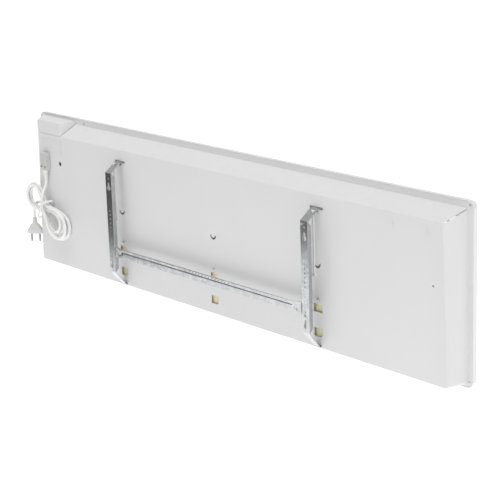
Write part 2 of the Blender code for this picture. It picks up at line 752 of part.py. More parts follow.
def housing_wedge(inset, sink):
    back_y = -inset
    mouth_y = -PAN_DEPTH + GAP + inset
    def side_x(y, back, mouth):
        return back + (mouth - back) * -y / PAN_DEPTH
    def section(back, mouth, shift):
        top_back = BACK_HEIGHT / 2 + HOUSING_BACK_HEIGHT - inset
        seat_back = BACK_HEIGHT / 2 + 2 * GAP - sink
        seat_mouth = PAN_MOUTH_TOP + 2 * GAP - sink
        return [
            Vector((side_x(back_y, back, mouth) + shift, back_y, seat_back)),
            Vector((side_x(back_y, back, mouth) + shift, back_y, top_back)),
            Vector((side_x(mouth_y, back, mouth) + shift, mouth_y, top_back + HOUSING_RISE)),
            Vector((side_x(mouth_y, back, mouth) + shift, mouth_y, seat_mouth)),
        ]
    inner = section(HOUSING_INNER_X, HOUSING_INNER_X - HOUSING_SLANT, inset)
    outer = section(BACK_WIDTH_TOP / 2, PAN_MOUTH_WIDTH / 2, -inset)
    return bridge_rings([inner, outer])


def make_control_housing(heater):
    housing = add("control_housing", housing_wedge(0.0, 0.0), WHITE_ENAMEL, heater, -HINGE_PLACE)
    cut(housing, housing_wedge(HOUSING_WALL, PAN_DEPTH))
    return housing


def make_rating_label(heater):
    outline = rounded_rectangle(
        LABEL_X - LABEL_WIDTH / 2, LABEL_X + LABEL_WIDTH / 2,
        LABEL_Z - LABEL_HEIGHT / 2, LABEL_Z + LABEL_HEIGHT / 2, SHEET,
    )
    shape = prism(outline, GAP, GAP + LABEL_THICKNESS)
    return add("rating_label", shape, LABEL_PAPER, heater, -HINGE_PLACE)


def make_screws(heater):
    for index, column in enumerate(COLUMNS):
        shape = screw_shape(SCREW_HEAD_DIAMETER, SCREW_HEAD_HEIGHT, SCREW_SHANK, SCREW_LENGTH)
        place = Vector((column, GAP, SUPPORT_SCREW_Z)) - HINGE_PLACE
        smooth(add(f"support_screw_{index + 1}", shape, BRIGHT_STEEL, heater, place))
    for index, (x, z) in enumerate(flange_screw_places()):
        shape = screw_shape(
            FLANGE_SCREW_DIAMETER, FLANGE_SCREW_HEIGHT, FLANGE_SCREW_SHANK, FLANGE_SCREW_LENGTH - GAP
        )
        place = Vector((x, -PAN_DEPTH + GAP, z)) - HINGE_PLACE
        smooth(add(f"flange_screw_{index + 1}", shape, BRIGHT_STEEL, heater, place))


def entry_outline(inset):
    left, right = ENTRY_X - ENTRY_WIDTH / 2 + inset, ENTRY_X + ENTRY_WIDTH / 2 - inset
    low, high = ENTRY_TOP - ENTRY_HEIGHT + inset, ENTRY_TOP - inset
    points = [(left, low), (right, low)]
    radius = ENTRY_CORNER - inset
    for centre_x, start in ((right - radius, 0.0), (left + radius, math.pi / 2)):
        for step in range(CORNER_STEPS):
            angle = start + math.pi / 2 * step / (CORNER_STEPS - 1)
            points.append((centre_x + radius * math.cos(angle), high - radius + radius * math.sin(angle)))
    return points


def entry_screw_places():
    z = ENTRY_TOP - ENTRY_HEIGHT + ENTRY_SCREW_RISE
    return [(ENTRY_X + side * ENTRY_SCREW_SPACING / 2, z) for side in (-1, 1)]


def make_cord_entry(heater):
    rings = [
        ring_at(GAP, entry_outline(0.0)),
        ring_at(ENTRY_DEPTH - ENTRY_EDGE, entry_outline(0.0)),
        ring_at(ENTRY_DEPTH, entry_outline(ENTRY_EDGE)),
    ]
    entry = add("cord_entry", bridge_rings(rings), WHITE_PLASTIC, heater, -HINGE_PLACE)
    holes = bmesh.new()
    for place in entry_screw_places():
        recess = ENTRY_DEPTH - ENTRY_RECESS_DEPTH
        head = circle(place, ENTRY_SCREW_HEAD + 2 * HOLE_CLEARANCE)
        prism(head, recess, ENTRY_DEPTH + OVERRUN, "Y", holes)
    cut(entry, holes)
    shanks = bmesh.new()
    for place in entry_screw_places():
        shank = circle(place, ENTRY_SCREW_SHANK + 2 * HOLE_CLEARANCE, 8)
        prism(shank, -OVERRUN, ENTRY_DEPTH, "Y", shanks)
    cut(entry, shanks)
    for index, (x, z) in enumerate(entry_screw_places()):
        seat = ENTRY_DEPTH - ENTRY_RECESS_DEPTH + GAP
        shape = screw_shape(ENTRY_SCREW_HEAD, SCREW_HEAD_HEIGHT, ENTRY_SCREW_SHANK, seat - 2 * GAP)
        place = Vector((x, seat, z)) - HINGE_PLACE
        smooth(add(f"entry_screw_{index + 1}", shape, BRIGHT_STEEL, heater, place))
    return entry


# Wall bracket: strips with a hook at each end, the cross rail and its rivets

def hook_top():
    return LOW_SLOT_Z + LOW_SLOT_HEIGHT / 2 - GAP


def arm_top():
    return TOP_SLOT_Z + STRIP_THICKNESS / 2


def arm_height(y):
    start = -WALL_GAP + ARM_LANDING
    return arm_top() + (STRIP_TOP_BEND - arm_top()) * (y - start) / -start


def strip_stations():
    reach_y = -WALL_GAP - HOOK_REACH
    hook_low = hook_top() - STRIP_THICKNESS
    hook = HOOK_WIDTH / 2
    full = STRIP_WIDTH / 2
    flat = STRIP_THICKNESS
    return (
        (reach_y, hook_low + HOOK_RISE, hook, flat),
        (reach_y, hook_low, hook, flat),
        (-WALL_GAP + STRIP_LANDING, hook_low, hook, flat),
        (-WALL_GAP / 4, STRIP_LOW_BEND - WALL_GAP / 3, full, flat),
        (0.0, STRIP_LOW_BEND, full, flat),
        (0.0, STRIP_LOW_BEND + STRIP_FLANGE, full, STRIP_FLANGE),
        (0.0, STRIP_TOP_BEND - STRIP_FLANGE, full, STRIP_FLANGE),
        (0.0, STRIP_TOP_BEND, full, flat),
        (-WALL_GAP + ARM_LANDING, arm_top(), full, flat),
        (-WALL_GAP + STRIP_LANDING / 2, arm_top(), TONGUE_NECK / 2, flat),
        (-WALL_GAP + SHEET, arm_top(), TONGUE_WIDTH / 2, flat),
        (reach_y, arm_top(), TONGUE_WIDTH / 2, flat),
    )


def strip_rings():
    stations = strip_stations()
    rings = []
    for index, (y, z, half, depth) in enumerate(stations):
        here = Vector((y, z))
        before = Vector(stations[max(index - 1, 0)][:2])
        after = Vector(stations[min(index + 1, len(stations) - 1)][:2])
        came = (here - before).normalized() if index else (after - here).normalized()
        goes = (after - here).normalized() if index < len(stations) - 1 else came
        middle = (came + goes).normalized()
        normal = Vector((-middle.y, middle.x)) / max(middle.dot(goes), 0.5)
        def point(across, rise):
            return Vector((across, y + normal.x * rise, z + normal.y * rise))
        wall = half - STRIP_THICKNESS
        rings.append([
            point(-half, 0.0), point(half, 0.0), point(half, depth), point(wall, depth),
            point(wall, STRIP_THICKNESS), point(-wall, STRIP_THICKNESS),
            point(-wall, depth), point(-half, depth),
        ])
    return rings


def keyhole_outline(head_z):
    head = KEYHOLE_HEAD / 2
    neck = KEYHOLE_NECK / 2
    start = math.acos(neck / head)
    points = []
    for step in range(11):
        angle = start - (math.pi + 2 * start) * step / 10
        points.append((head * math.cos(angle), head_z + head * math.sin(angle)))
    top = head_z + KEYHOLE_LENGTH
    for step in range(5):
        angle = math.pi - math.pi * step / 4
        points.append((neck * math.cos(angle), top + neck * math.sin(angle)))
    return points


def strip_holes():
    joint_z = RAIL_TOP_Z - RAIL_HEIGHT
    outlines = [
        keyhole_outline(KEYHOLE_Z),
        keyhole_outline(PEAR_Z),
        circle((0.0, KEYHOLE_Z + KEYHOLE_LENGTH + KEYHOLE_HEAD), SMALL_HOLE, 10),
        circle((0.0, joint_z + SMALL_HOLE), SMALL_HOLE, 10),
        opening_outline(0.0, joint_z - SMALL_HOLE / 2, 2 * SMALL_HOLE, SMALL_HOLE),
    ]
    for index in range(SMALL_HOLE_COUNT):
        z = (index - (SMALL_HOLE_COUNT - 1) / 2) * SMALL_HOLE_PITCH
        outlines.append(circle((0.0, z), SMALL_HOLE, 10))
    return outlines


def make_bracket_strip(name, wall_frame, column_x, side):
    shape = bridge_rings(strip_rings())
    bmesh.ops.remove_doubles(shape, verts=shape.verts, dist=GAP / 10)
    strip = add(name, shape, GALVANISED, wall_frame, (column_x, 0.0, BACK_MIDDLE_HEIGHT))
    rail_middle = RAIL_TOP_Z - RAIL_HEIGHT / 2
    wing_near = -side * (STRIP_WIDTH / 2 - STRIP_THICKNESS / 2)
    wing_far = -side * WING_LENGTH
    wing_y = -1.5 * STRIP_THICKNESS - GAP
    wing = slab(
        ((wing_near + wing_far) / 2, wing_y, rail_middle),
        (abs(wing_far - wing_near), STRIP_THICKNESS, WING_HEIGHT),
    )
    cut(strip, wing, "UNION")
    for outline in strip_holes():
        cut(strip, prism(outline, -STRIP_THICKNESS - OVERRUN, OVERRUN, "Y"))
    rivet_hole = circle((-side * RIVET_INSET, rail_middle), RIVET_SHANK + 2 * GAP, 10)
    cut(strip, prism(rivet_hole, wing_y - STRIP_THICKNESS, wing_y + STRIP_THICKNESS, "Y"))
    rod_x = side * ROD_OFFSET
    rod_size = (ROD_WIDTH_TOP + 2 * HOLE_CLEARANCE, ROD_THICKNESS + 2 * HOLE_CLEARANCE, 8 * STRIP_THICKNESS)
    cut(strip, slab((rod_x, rod_y(), arm_height(rod_y())), rod_size))
    return strip


def rail_ring(x, rise, depth):
    middle = RAIL_TOP_Z - RAIL_HEIGHT / 2
    top = middle + RAIL_HEIGHT / 2 + rise
    low = middle - RAIL_HEIGHT / 2 - rise
    high_edge = RAIL_TOP_Z - RAIL_UPPER_BAND
    low_edge = high_edge - RAIL_GROOVE
    lean = RAIL_GROOVE / 4
    profile = [
        (0.0, top), (0.0, high_edge), (-depth, high_edge - lean), (-depth, low_edge + lean),
        (0.0, low_edge), (0.0, low), (-STRIP_THICKNESS, low), (-STRIP_THICKNESS, low_edge - lean),
        (-STRIP_THICKNESS - depth, low_edge), (-STRIP_THICKNESS - depth, high_edge),
        (-STRIP_THICKNESS, high_edge + lean), (-STRIP_THICKNESS, top),
    ]
    return [Vector((x, y, z)) for y, z in profile]


def make_bracket_rail(wall_frame):
    end = COLUMN_SPACING - STRIP_WIDTH / 2 - OVERRUN
    groove_end = COLUMN_SPACING - WING_LENGTH - 2 * STRIP_THICKNESS
    half = (
        (end, RAIL_FLARE / 2, 0.0),
        (end - RAIL_FLARE_LENGTH / 2, RAIL_FLARE / 2, 0.0),
        (end - RAIL_FLARE_LENGTH, 0.0, 0.0),
        (groove_end, 0.0, 0.0),
        (groove_end - RAIL_GROOVE, 0.0, RAIL_GROOVE_DEPTH),
    )
    stations = list(half) + [(-x, rise, depth) for x, rise, depth in reversed(half)]
    shape = bridge_rings([rail_ring(*station) for station in stations])
    rail = add("bracket_rail", shape, GALVANISED, wall_frame, (0.0, 0.0, BACK_MIDDLE_HEIGHT))
    teeth = bmesh.new()
    edge = RAIL_TOP_Z - RAIL_UPPER_BAND
    for index in range(TOOTH_COUNT):
        x = TOOTH_SHIFT + (index - (TOOTH_COUNT - 1) / 2) * TOOTH_PITCH
        outline = [(x - TOOTH_PITCH / 4, edge), (x + TOOTH_PITCH / 4, edge), (x - TOOTH_PITCH / 4, edge + TOOTH_DEPTH)]
        prism(outline, -STRIP_THICKNESS - RAIL_GROOVE_DEPTH - OVERRUN, OVERRUN, "Y", teeth)
    cut(rail, teeth)
    holes = bmesh.new()
    for side in (-1, 1):
        sink = turned(countersink(GAP), "Y", 12)
        bmesh.ops.translate(
            sink, verts=sink.verts, vec=(side * (COLUMN_SPACING - RIVET_INSET), 0.0, RAIL_TOP_Z - RAIL_HEIGHT / 2)
        )
        merge_into(holes, sink)
    cut(rail, holes)
    return rail


def countersink(spare):
    head = RIVET_DIAMETER / 2 + spare
    shank = RIVET_SHANK / 2 + spare
    deep = -2 * STRIP_THICKNESS - 2 * GAP
    profile = ((shank, deep), (shank, -RIVET_HEAD), (head, -GAP))
    if spare:
        profile += ((head, OVERRUN),)
    return profile


def merge_into(shape, other):
    data = bpy.data.meshes.new("merge")
    other.to_mesh(data)
    other.free()
    shape.from_mesh(data)
    bpy.data.meshes.remove(data)


def make_rail_rivets(wall_frame):
    tail_start = -2 * STRIP_THICKNESS - 2 * GAP
    tail_end = tail_start - RIVET_HEAD
    profile = ((RIVET_DIAMETER * 0.3, tail_end), (RIVET_DIAMETER * 0.44, tail_start)) + countersink(0.0)
    for name, side in (("rail_rivet_left", 1), ("rail_rivet_right", -1)):
        place = (side * (COLUMN_SPACING - RIVET_INSET), 0.0, BACK_MIDDLE_HEIGHT + RAIL_TOP_Z - RAIL_HEIGHT / 2)
        smooth(add(name, turned(profile), BRIGHT_STEEL, wall_frame, place))


def rod_y():
    return -WALL_GAP + ROD_THICKNESS / 2 + ROD_STAND


def make_lock_rod(name, wall_frame, column_x, side):
    head_low = arm_height(rod_y() - ROD_THICKNESS / 2) + GAP
    half_top, half_low, half_foot = ROD_WIDTH_TOP / 2, ROD_WIDTH_LOW / 2, ROD_FOOT_WIDTH / 2
    half_head = ROD_FOOT_WIDTH / 3
    right_side = [
        (half_foot, ROD_LOW_Z), (half_low, ROD_LOW_Z + ROD_FOOT_HEIGHT),
        (half_top, head_low - ROD_FOOT_HEIGHT), (half_top, head_low), (half_head, head_low),
        (half_head, head_low + ROD_HEAD_HEIGHT / 2),
    ]
    outline = right_side + [(-x, z) for x, z in reversed(right_side)]
    shape = prism([(x, z - ROD_LOW_Z) for x, z in outline], -ROD_THICKNESS / 2, ROD_THICKNESS / 2)
    place = (column_x + side * ROD_OFFSET, rod_y(), BACK_MIDDLE_HEIGHT + ROD_LOW_Z)
    return add(name, shape, WHITE_PLASTIC, wall_frame, place)


# Mains lead: strain relief, lead, hank, tie, tail and plug, in the heater's own frame

def ease(share):
    share = min(max(share, 0.0), 1.0)
    return share * share * (3 - 2 * share)


def hank_run_share():
    straight = HANK_LENGTH - HANK_SPREAD
    fold = math.pi * (HANK_SPREAD - CORD_DIAMETER) / 2
    return straight / (2 * straight + 2 * fold)


def hank_axis():
    return Vector((math.cos(HANK_TILT), 0.0, math.sin(HANK_TILT)))


def hank_place(along, across, depth):
    x = HANK_CENTRE_X + along * math.cos(HANK_TILT) - across * math.sin(HANK_TILT)
    z = HANK_CENTRE_Z + along * math.sin(HANK_TILT) + across * math.cos(HANK_TILT)
    return Vector((x, depth, z))


def loop_place(turns, inward, depth):
    run = hank_run_share()
    reach = (HANK_LENGTH - HANK_SPREAD) / 2
    radius = (HANK_SPREAD - CORD_DIAMETER) / 2 - inward
    share = turns % 1.0
    side = 1 if share < 0.5 else -1
    share = share % 0.5
    if share < run:
        along = 2 * reach * share / run - reach
        drawn_in = HANK_PINCH * math.cos(math.pi / 2 * along / reach) ** 2
        across = radius - drawn_in
    else:
        angle = math.pi / 2 - math.pi * (share - run) / (0.5 - run)
        along = reach + radius * math.cos(angle)
        across = radius * math.sin(angle)
    return hank_place(side * along, side * across, depth)


def hank_end():
    return HANK_TURNS + 0.5 + hank_run_share()


def hank_climb():
    return (HANK_TURNS + hank_run_share()) / 2


def hank_inward(turns):
    return HANK_STEP * (hank_end() - hank_climb() - abs(turns - hank_climb()))


def hank_points():
    end = hank_end()
    front = HANK_CENTRE_Y + HANK_LAYER / 2
    back = HANK_CENTRE_Y - HANK_LAYER / 2
    count = round(end * HANK_POINTS_PER_TURN)
    points = []
    for index in range(count + 1):
        turns = end * index / count
        climbed = ease((turns - hank_climb()) / hank_run_share() + 0.5)
        points.append(loop_place(turns, hank_inward(turns), front + (back - front) * climbed))
    return straighten_ends(points)


def straighten_ends(points):
    outward = hank_axis() * -CORD_DIAMETER
    return [points[0] + outward] + points + [points[-1] + outward]


def least_gap(points):
    spots = np.array(points)
    ahead = spots[1:] - spots[:-1]
    fine = np.concatenate([spots[:-1] + ahead * share for share in (0.0, 0.25, 0.5, 0.75)])
    order = np.concatenate([np.arange(len(ahead)) + share for share in (0.0, 0.25, 0.5, 0.75)])
    steps = np.concatenate([[0.0], np.cumsum(np.linalg.norm(ahead, axis=1))])
    travel = np.interp(order, np.arange(len(steps)), steps)
    between = np.linalg.norm(fine[:, None] - fine[None, :], axis=2)
    apart = np.abs(travel[:, None] - travel[None, :])
    between[apart < CORD_DIAMETER * NEIGHBOUR_SHARE] = 1.0
    return between.min() - CORD_DIAMETER


def relief_foot():
    return Vector((ENTRY_X, RELIEF_Y, ENTRY_TOP - ENTRY_HEIGHT - RELIEF_LENGTH))


def hank_half_width(turns):
    return (HANK_SPREAD - CORD_DIAMETER) / 2 - hank_inward(turns)


def end_fold(level, first, last, near, far):
    reach = (HANK_LENGTH - HANK_SPREAD) / 2 + 2 * CORD_DIAMETER
    places = []
    for degrees in range(first, last, -25):
        angle = math.radians(degrees)
        depth = near + (far - near) * ease((first - degrees) / 100)
        places.append(hank_place(
            -reach + END_FOLD_RADIUS * math.cos(angle), level + END_FOLD_RADIUS * math.sin(angle), depth
        ))
    return places


def lead_points():
    joined = hank_points()
    start = relief_foot() - Vector((0.0, 0.0, GAP))
    heading = (joined[1] - joined[0]).normalized()
    end = joined[0] - heading * GAP
    front = joined[0].y + HANK_LAYER
    level = hank_half_width(0.0) - END_FOLD_RADIUS
    route = [
        Vector((HANK_CENTRE_X - CORD_DIAMETER / 2, front - CORD_DIAMETER / 16, HANK_CENTRE_Z + 4.4 * CORD_DIAMETER)),
        hank_place(0.0, CORD_DIAMETER, front),
        hank_place(-3 * CORD_DIAMETER, -CORD_DIAMETER, front),
    ]
    route += end_fold(level, 295, 91, front, joined[0].y)
    return straight_ended_route(start, DOWN, route, end, heading, CORD_DIAMETER / 2, LEAD_POINTS)


def tail_points():
    joined = hank_points()
    heading = (joined[-1] - joined[-2]).normalized()
    start = joined[-1] + heading * GAP
    level = END_FOLD_RADIUS - hank_half_width(hank_end())
    route = end_fold(level, 245, 101, start.y, PLUG_Y)
    route.append(hank_place(-CORD_DIAMETER, CORD_DIAMETER, PLUG_Y))
    neck = plug_neck()
    centre_x = PLUG_X - END_FOLD_RADIUS
    centre_z = neck.z + 2 * CORD_DIAMETER
    for degrees in range(92, -1, -23):
        angle = math.radians(degrees)
        across = centre_x + END_FOLD_RADIUS * math.cos(angle)
        route.append(Vector((across, PLUG_Y, centre_z + END_FOLD_RADIUS * math.sin(angle))))
    return straight_ended_route(start, heading, route, neck, DOWN, CORD_DIAMETER, TAIL_POINTS)


def plug_neck():
    return Vector((PLUG_X, PLUG_Y, PLUG_TOP_Z + GAP))


def rest_on(parent_place, points):
    return [point - parent_place for point in points]


def make_strain_relief(heater):
    top = ENTRY_TOP - ENTRY_HEIGHT - GAP
    profile = (
        (RELIEF_LOW_DIAMETER / 2 - GAP, -RELIEF_LENGTH + GAP),
        (RELIEF_LOW_DIAMETER / 2, -RELIEF_LENGTH + 3 * GAP),
        (RELIEF_LOW_DIAMETER / 2, -RELIEF_LENGTH * 0.45),
        (RELIEF_TOP_DIAMETER / 2, -RELIEF_LENGTH * 0.35),
        (RELIEF_TOP_DIAMETER / 2, 0.0),
    )
    place = Vector((ENTRY_X, RELIEF_Y, top)) - HINGE_PLACE
    smooth(add("strain_relief", turned(profile, "Z", 16), WHITE_PVC, heater, place))


def make_hank_tie(heater):
    half_across = HANK_SPREAD / 2 - HANK_PINCH + GAP
    near_heater = PLUG_Y - CORD_DIAMETER / 2 - GAP
    near_wall = HANK_CENTRE_Y + 1.5 * HANK_LAYER + CORD_DIAMETER / 2 + 2 * GAP
    half_deep = (near_wall - near_heater) / 2
    wide = half_across + TIE_SLACK
    outer = rounded_rectangle(
        -wide - TIE_THICKNESS, wide + TIE_THICKNESS, -half_deep - TIE_THICKNESS, half_deep + TIE_THICKNESS,
        CORD_DIAMETER / 2,
    )
    inner = rounded_rectangle(-wide, wide, -half_deep, half_deep, CORD_DIAMETER / 2 - TIE_THICKNESS)
    tie = add("cord_tie", prism(outer, -TIE_WIDTH / 2, TIE_WIDTH / 2, "X"), WHITE_PVC, heater)
    cut(tie, prism(inner, -TIE_WIDTH, TIE_WIDTH, "X"))
    tie.rotation_mode = "QUATERNION"
    along = hank_axis()
    across = Vector((-math.sin(HANK_TILT), 0.0, math.cos(HANK_TILT)))
    depth = Vector((0.0, 1.0, 0.0))
    tie.rotation_quaternion = Matrix((along, across, depth)).transposed().to_quaternion()
    middle_y = (near_wall + near_heater) / 2
    tie.location = Vector((HANK_CENTRE_X, middle_y, HANK_CENTRE_Z)) - HINGE_PLACE


def make_cord(heater):
    lead = rest_on(HINGE_PLACE, lead_points())
    hank = rest_on(HINGE_PLACE, hank_points())
    tail = rest_on(HINGE_PLACE, tail_points())
    print(f"least gap between the hank's turns: {least_gap(hank) * 1000:.2f} mm")
    tube("cord_lead", lead, CORD_DIAMETER, WHITE_PVC, heater, 2)
    tube("cord_hank", hank, CORD_DIAMETER, WHITE_PVC, heater, 1)
    tube("cord_tail", tail, CORD_DIAMETER, WHITE_PVC, heater, 2)


def plug_section(half_width, half_thickness, z):
    radius = half_thickness * 0.8
    outline = rounded_rectangle(-half_width, half_width, -half_thickness, half_thickness, radius)
    return [Vector((x, y, z)) for x, y in outline]


def make_plug(heater):
    half_neck = PLUG_NECK_DIAMETER / 2
    half_width, half_thickness = PLUG_WIDTH / 2, PLUG_THICKNESS / 2
    stations = (
        (half_neck - GAP, half_neck - GAP, 0.0),
        (half_neck, half_neck, -0.03),
        (half_neck, half_neck, -0.30),
        (half_width * 0.62, half_thickness * 0.86, -0.42),
        (half_width * 0.70, half_thickness * 0.90, -0.55),
        (half_width * 0.97, half_thickness, -0.68),
        (half_width, half_thickness, -0.76),
        (half_width, half_thickness, -0.97),
        (half_width * 0.97, half_thickness * 0.94, -1.0),
    )
    rings = [plug_section(wide, deep, share * PLUG_LENGTH) for wide, deep, share in stations]
    place = Vector((PLUG_X, PLUG_Y, PLUG_TOP_Z)) - HINGE_PLACE
    plug = add("plug_body", bridge_rings(rings), WHITE_PVC, heater, place, PLUG_TURN)
    smooth(plug)
    for index, side in enumerate((-1, 1)):
        profile = (
            (PIN_DIAMETER / 2 * 0.6, -PIN_LENGTH),
            (PIN_DIAMETER / 2, -PIN_LENGTH + PIN_DIAMETER / 4),
            (PIN_DIAMETER / 2, -GAP),
        )
        pin = add(f"plug_pin_{index + 1}", turned(profile, "Z"), BRIGHT_STEEL, plug)
        pin.location = (side * PIN_SPACING / 2, 0.0, -PLUG_LENGTH)
        smooth(pin)


# Heating element and its supports, inside the shell

def element_outline():
    half_height, half_depth, half_core = ELEMENT_HEIGHT / 2, ELEMENT_DEPTH / 2, ELEMENT_CORE / 2
    pitch = (ELEMENT_HEIGHT - FIN_THICKNESS) / (FIN_COUNT - 1)
    def comb(side):
        points = []
        for fin in range(FIN_COUNT):
            low = -half_height + fin * pitch
            high = low + FIN_THICKNESS
            if fin:
                points.append((side * half_core, low))
            points += [(side * half_depth, low), (side * half_depth, high)]
            if fin < FIN_COUNT - 1:
                points.append((side * half_core, high))
        return points
    return comb(1) + comb(-1)[::-1]


def make_heating_element(heater):
    half = ELEMENT_LENGTH / 2
    outline = [(ELEMENT_Y + y, ELEMENT_Z + z) for y, z in element_outline()]
    shape = prism(outline, ELEMENT_CENTRE_X - half, ELEMENT_CENTRE_X + half, "X")
    add("heating_element", shape, ALUMINIUM, heater, -HINGE_PLACE)
    profile = (
        (TERMINAL_DIAMETER / 2, 0.0),
        (TERMINAL_DIAMETER / 2, TERMINAL_LENGTH * 0.6),
        (TERMINAL_PIN / 2, TERMINAL_LENGTH * 0.6),
        (TERMINAL_PIN / 2, TERMINAL_LENGTH),
    )
    for index, side in enumerate((1, -1)):
        place = Vector((ELEMENT_CENTRE_X + half + GAP, ELEMENT_Y, ELEMENT_Z + side * TERMINAL_SPACING / 2))
        terminal = add(f"element_terminal_{index + 1}", turned(profile, "X"), CERAMIC, heater)
        terminal.location = place - HINGE_PLACE
        smooth(terminal)


def support_outline():
    near = -SHEET - GAP
    far = near - SUPPORT_STAND
    thick = SUPPORT_THICKNESS
    pad_top = SUPPORT_SCREW_Z + SUPPORT_PAD / 2
    jog_top = SUPPORT_SCREW_Z - SUPPORT_PAD / 3
    jog_low = jog_top - SUPPORT_STAND / 2
    foot_top = WINDOW_LOWER_Z - WINDOW_LOWER_HEIGHT / 2 - thick
    foot_low = LOW_SLOT_Z + 2 * LOW_SLOT_HEIGHT
    high_prong = ELEMENT_Z + ELEMENT_HEIGHT / 2 + GAP
    low_prong = ELEMENT_Z - ELEMENT_HEIGHT / 2 - GAP
    reach = far - thick - PRONG_LENGTH
    return [
        (near, pad_top), (near, jog_top), (far, jog_low), (far, foot_top),
        (near, foot_low + thick), (near, foot_low), (near - thick, foot_low),
        (far - thick, foot_top - thick),
        (far - thick, low_prong - thick), (reach, low_prong - thick), (reach, low_prong),
        (far - thick, low_prong), (far - thick, high_prong), (reach, high_prong),
        (reach, high_prong + thick), (far - thick, high_prong + thick),
        (far - thick, jog_low + thick / 2), (near - thick, jog_top + thick / 2), (near - thick, pad_top),
    ]


def make_element_supports(heater):
    for index, column in enumerate(COLUMNS):
        half = SUPPORT_WIDTH / 2
        shape = prism(support_outline(), column - half, column + half, "X")
        support = add(f"element_support_{index + 1}", shape, YELLOW_ZINC, heater, -HINGE_PLACE)
        hole = circle((column, SUPPORT_SCREW_Z), SCREW_SHANK + 2 * GAP, 8)
        cut(support, prism(hole, -SHEET - SUPPORT_THICKNESS - OVERRUN, -SHEET + OVERRUN))


# Controls behind the front panel's top corner, and the fixed wiring

def button_places():
    first = PANEL_CENTRE_X + PANEL_WIDTH / 2 - BUTTON_SPACING
    return [(first - index * BUTTON_SPACING, PANEL_CENTRE_Z) for index in range(3)]


def display_centre():
    return PANEL_CENTRE_X - PANEL_WIDTH / 2 + PANEL_SKIRT + DISPLAY_WIDTH / 2


def make_control_panel(heater):
    outline = opening_outline(PANEL_CENTRE_X, PANEL_CENTRE_Z, PANEL_WIDTH, PANEL_HEIGHT, GAP)
    inner = opening_outline(PANEL_CENTRE_X, PANEL_CENTRE_Z, PANEL_WIDTH, PANEL_HEIGHT, GAP + PANEL_THICKNESS)
    back_y = FRONT_Y + PANEL_SKIRT
    panel = add("control_panel", prism(outline, FRONT_Y, back_y), GREY_PLASTIC, heater, -HINGE_PLACE)
    cut(panel, prism(inner, FRONT_Y + PANEL_THICKNESS, back_y + OVERRUN))
    holes = bmesh.new()
    for place in button_places():
        prism(circle(place, BUTTON_DIAMETER + 2 * HOLE_CLEARANCE, 16), FRONT_Y - OVERRUN,
              FRONT_Y + PANEL_THICKNESS + OVERRUN, "Y", holes)
    opening = opening_outline(display_centre(), PANEL_CENTRE_Z, DISPLAY_WIDTH, DISPLAY_HEIGHT)
    prism(opening, FRONT_Y - OVERRUN, FRONT_Y + PANEL_THICKNESS + OVERRUN, "Y", holes)
    cut(panel, holes)
    pane = opening_outline(display_centre(), PANEL_CENTRE_Z, DISPLAY_WIDTH, DISPLAY_HEIGHT, GAP)
    add("display_window", prism(pane, FRONT_Y, FRONT_Y + PANEL_THICKNESS), DARK_PLASTIC, heater, -HINGE_PLACE)


def board_front():
    return FRONT_Y + PANEL_SKIRT + GAP


def make_buttons(heater):
    rest_gap = BUTTON_TRAVEL + GAP
    stem_end = board_front() - FRONT_Y - rest_gap
    flange = BUTTON_DIAMETER / 2 + HOLE_CLEARANCE + BUTTON_PROUD
    profile = (
        (BUTTON_DIAMETER / 2 - GAP, -BUTTON_PROUD),
        (BUTTON_DIAMETER / 2, -BUTTON_PROUD + GAP),
        (BUTTON_DIAMETER / 2, PANEL_THICKNESS + GAP),
        (flange, PANEL_THICKNESS + GAP),
        (flange, PANEL_THICKNESS + BUTTON_PROUD + GAP),
        (BUTTON_STEM / 2, PANEL_THICKNESS + BUTTON_PROUD + GAP),
        (BUTTON_STEM / 2, stem_end),
    )
    for name, (x, z) in zip(("button_power", "button_minus", "button_plus"), button_places()):
        place = Vector((x, FRONT_Y, z)) - HINGE_PLACE
        smooth(add(name, turned(profile, "Y", 16), WHITE_PLASTIC, heater, place))


def make_inner_parts(heater):
    board_y = board_front() + BOARD_THICKNESS / 2
    board = slab((PANEL_CENTRE_X, board_y, PANEL_CENTRE_Z), (BOARD_WIDTH, BOARD_THICKNESS, BOARD_HEIGHT))
    add("control_board", board, BOARD_GREEN, heater, -HINGE_PLACE)
    inside = -SHEET - GAP
    profile = (
        (CUTOUT_DIAMETER / 2, -CUTOUT_HEIGHT),
        (CUTOUT_DIAMETER / 2, -CUTOUT_HEIGHT / 3),
        (CUTOUT_DIAMETER / 2 * 0.8, 0.0),
    )
    cutout = add("overheat_cutout", turned(profile), DARK_PLASTIC, heater)
    cutout.location = Vector((RESET_HOLE_X, inside, RESET_HOLE_Z)) - HINGE_PLACE
    smooth(cutout)
    block_z = ENTRY_TOP - BLOCK_HEIGHT / 2
    block = slab((ENTRY_X, inside - BLOCK_DEPTH / 2, block_z), (BLOCK_WIDTH, BLOCK_DEPTH, BLOCK_HEIGHT))
    add("terminal_block", block, WHITE_PLASTIC, heater, -HINGE_PLACE)
    sensor_profile = (
        (SENSOR_DIAMETER / 4, -SENSOR_LENGTH / 2),
        (SENSOR_DIAMETER / 2, -SENSOR_LENGTH / 3),
        (SENSOR_DIAMETER / 2, SENSOR_LENGTH / 2),
    )
    sensor = add("room_sensor", turned(sensor_profile, "Z"), DARK_PLASTIC, heater)
    sensor.location = Vector((ENTRY_X, inside - SENSOR_DIAMETER / 2, ELEMENT_Z)) - HINGE_PLACE
    smooth(sensor)


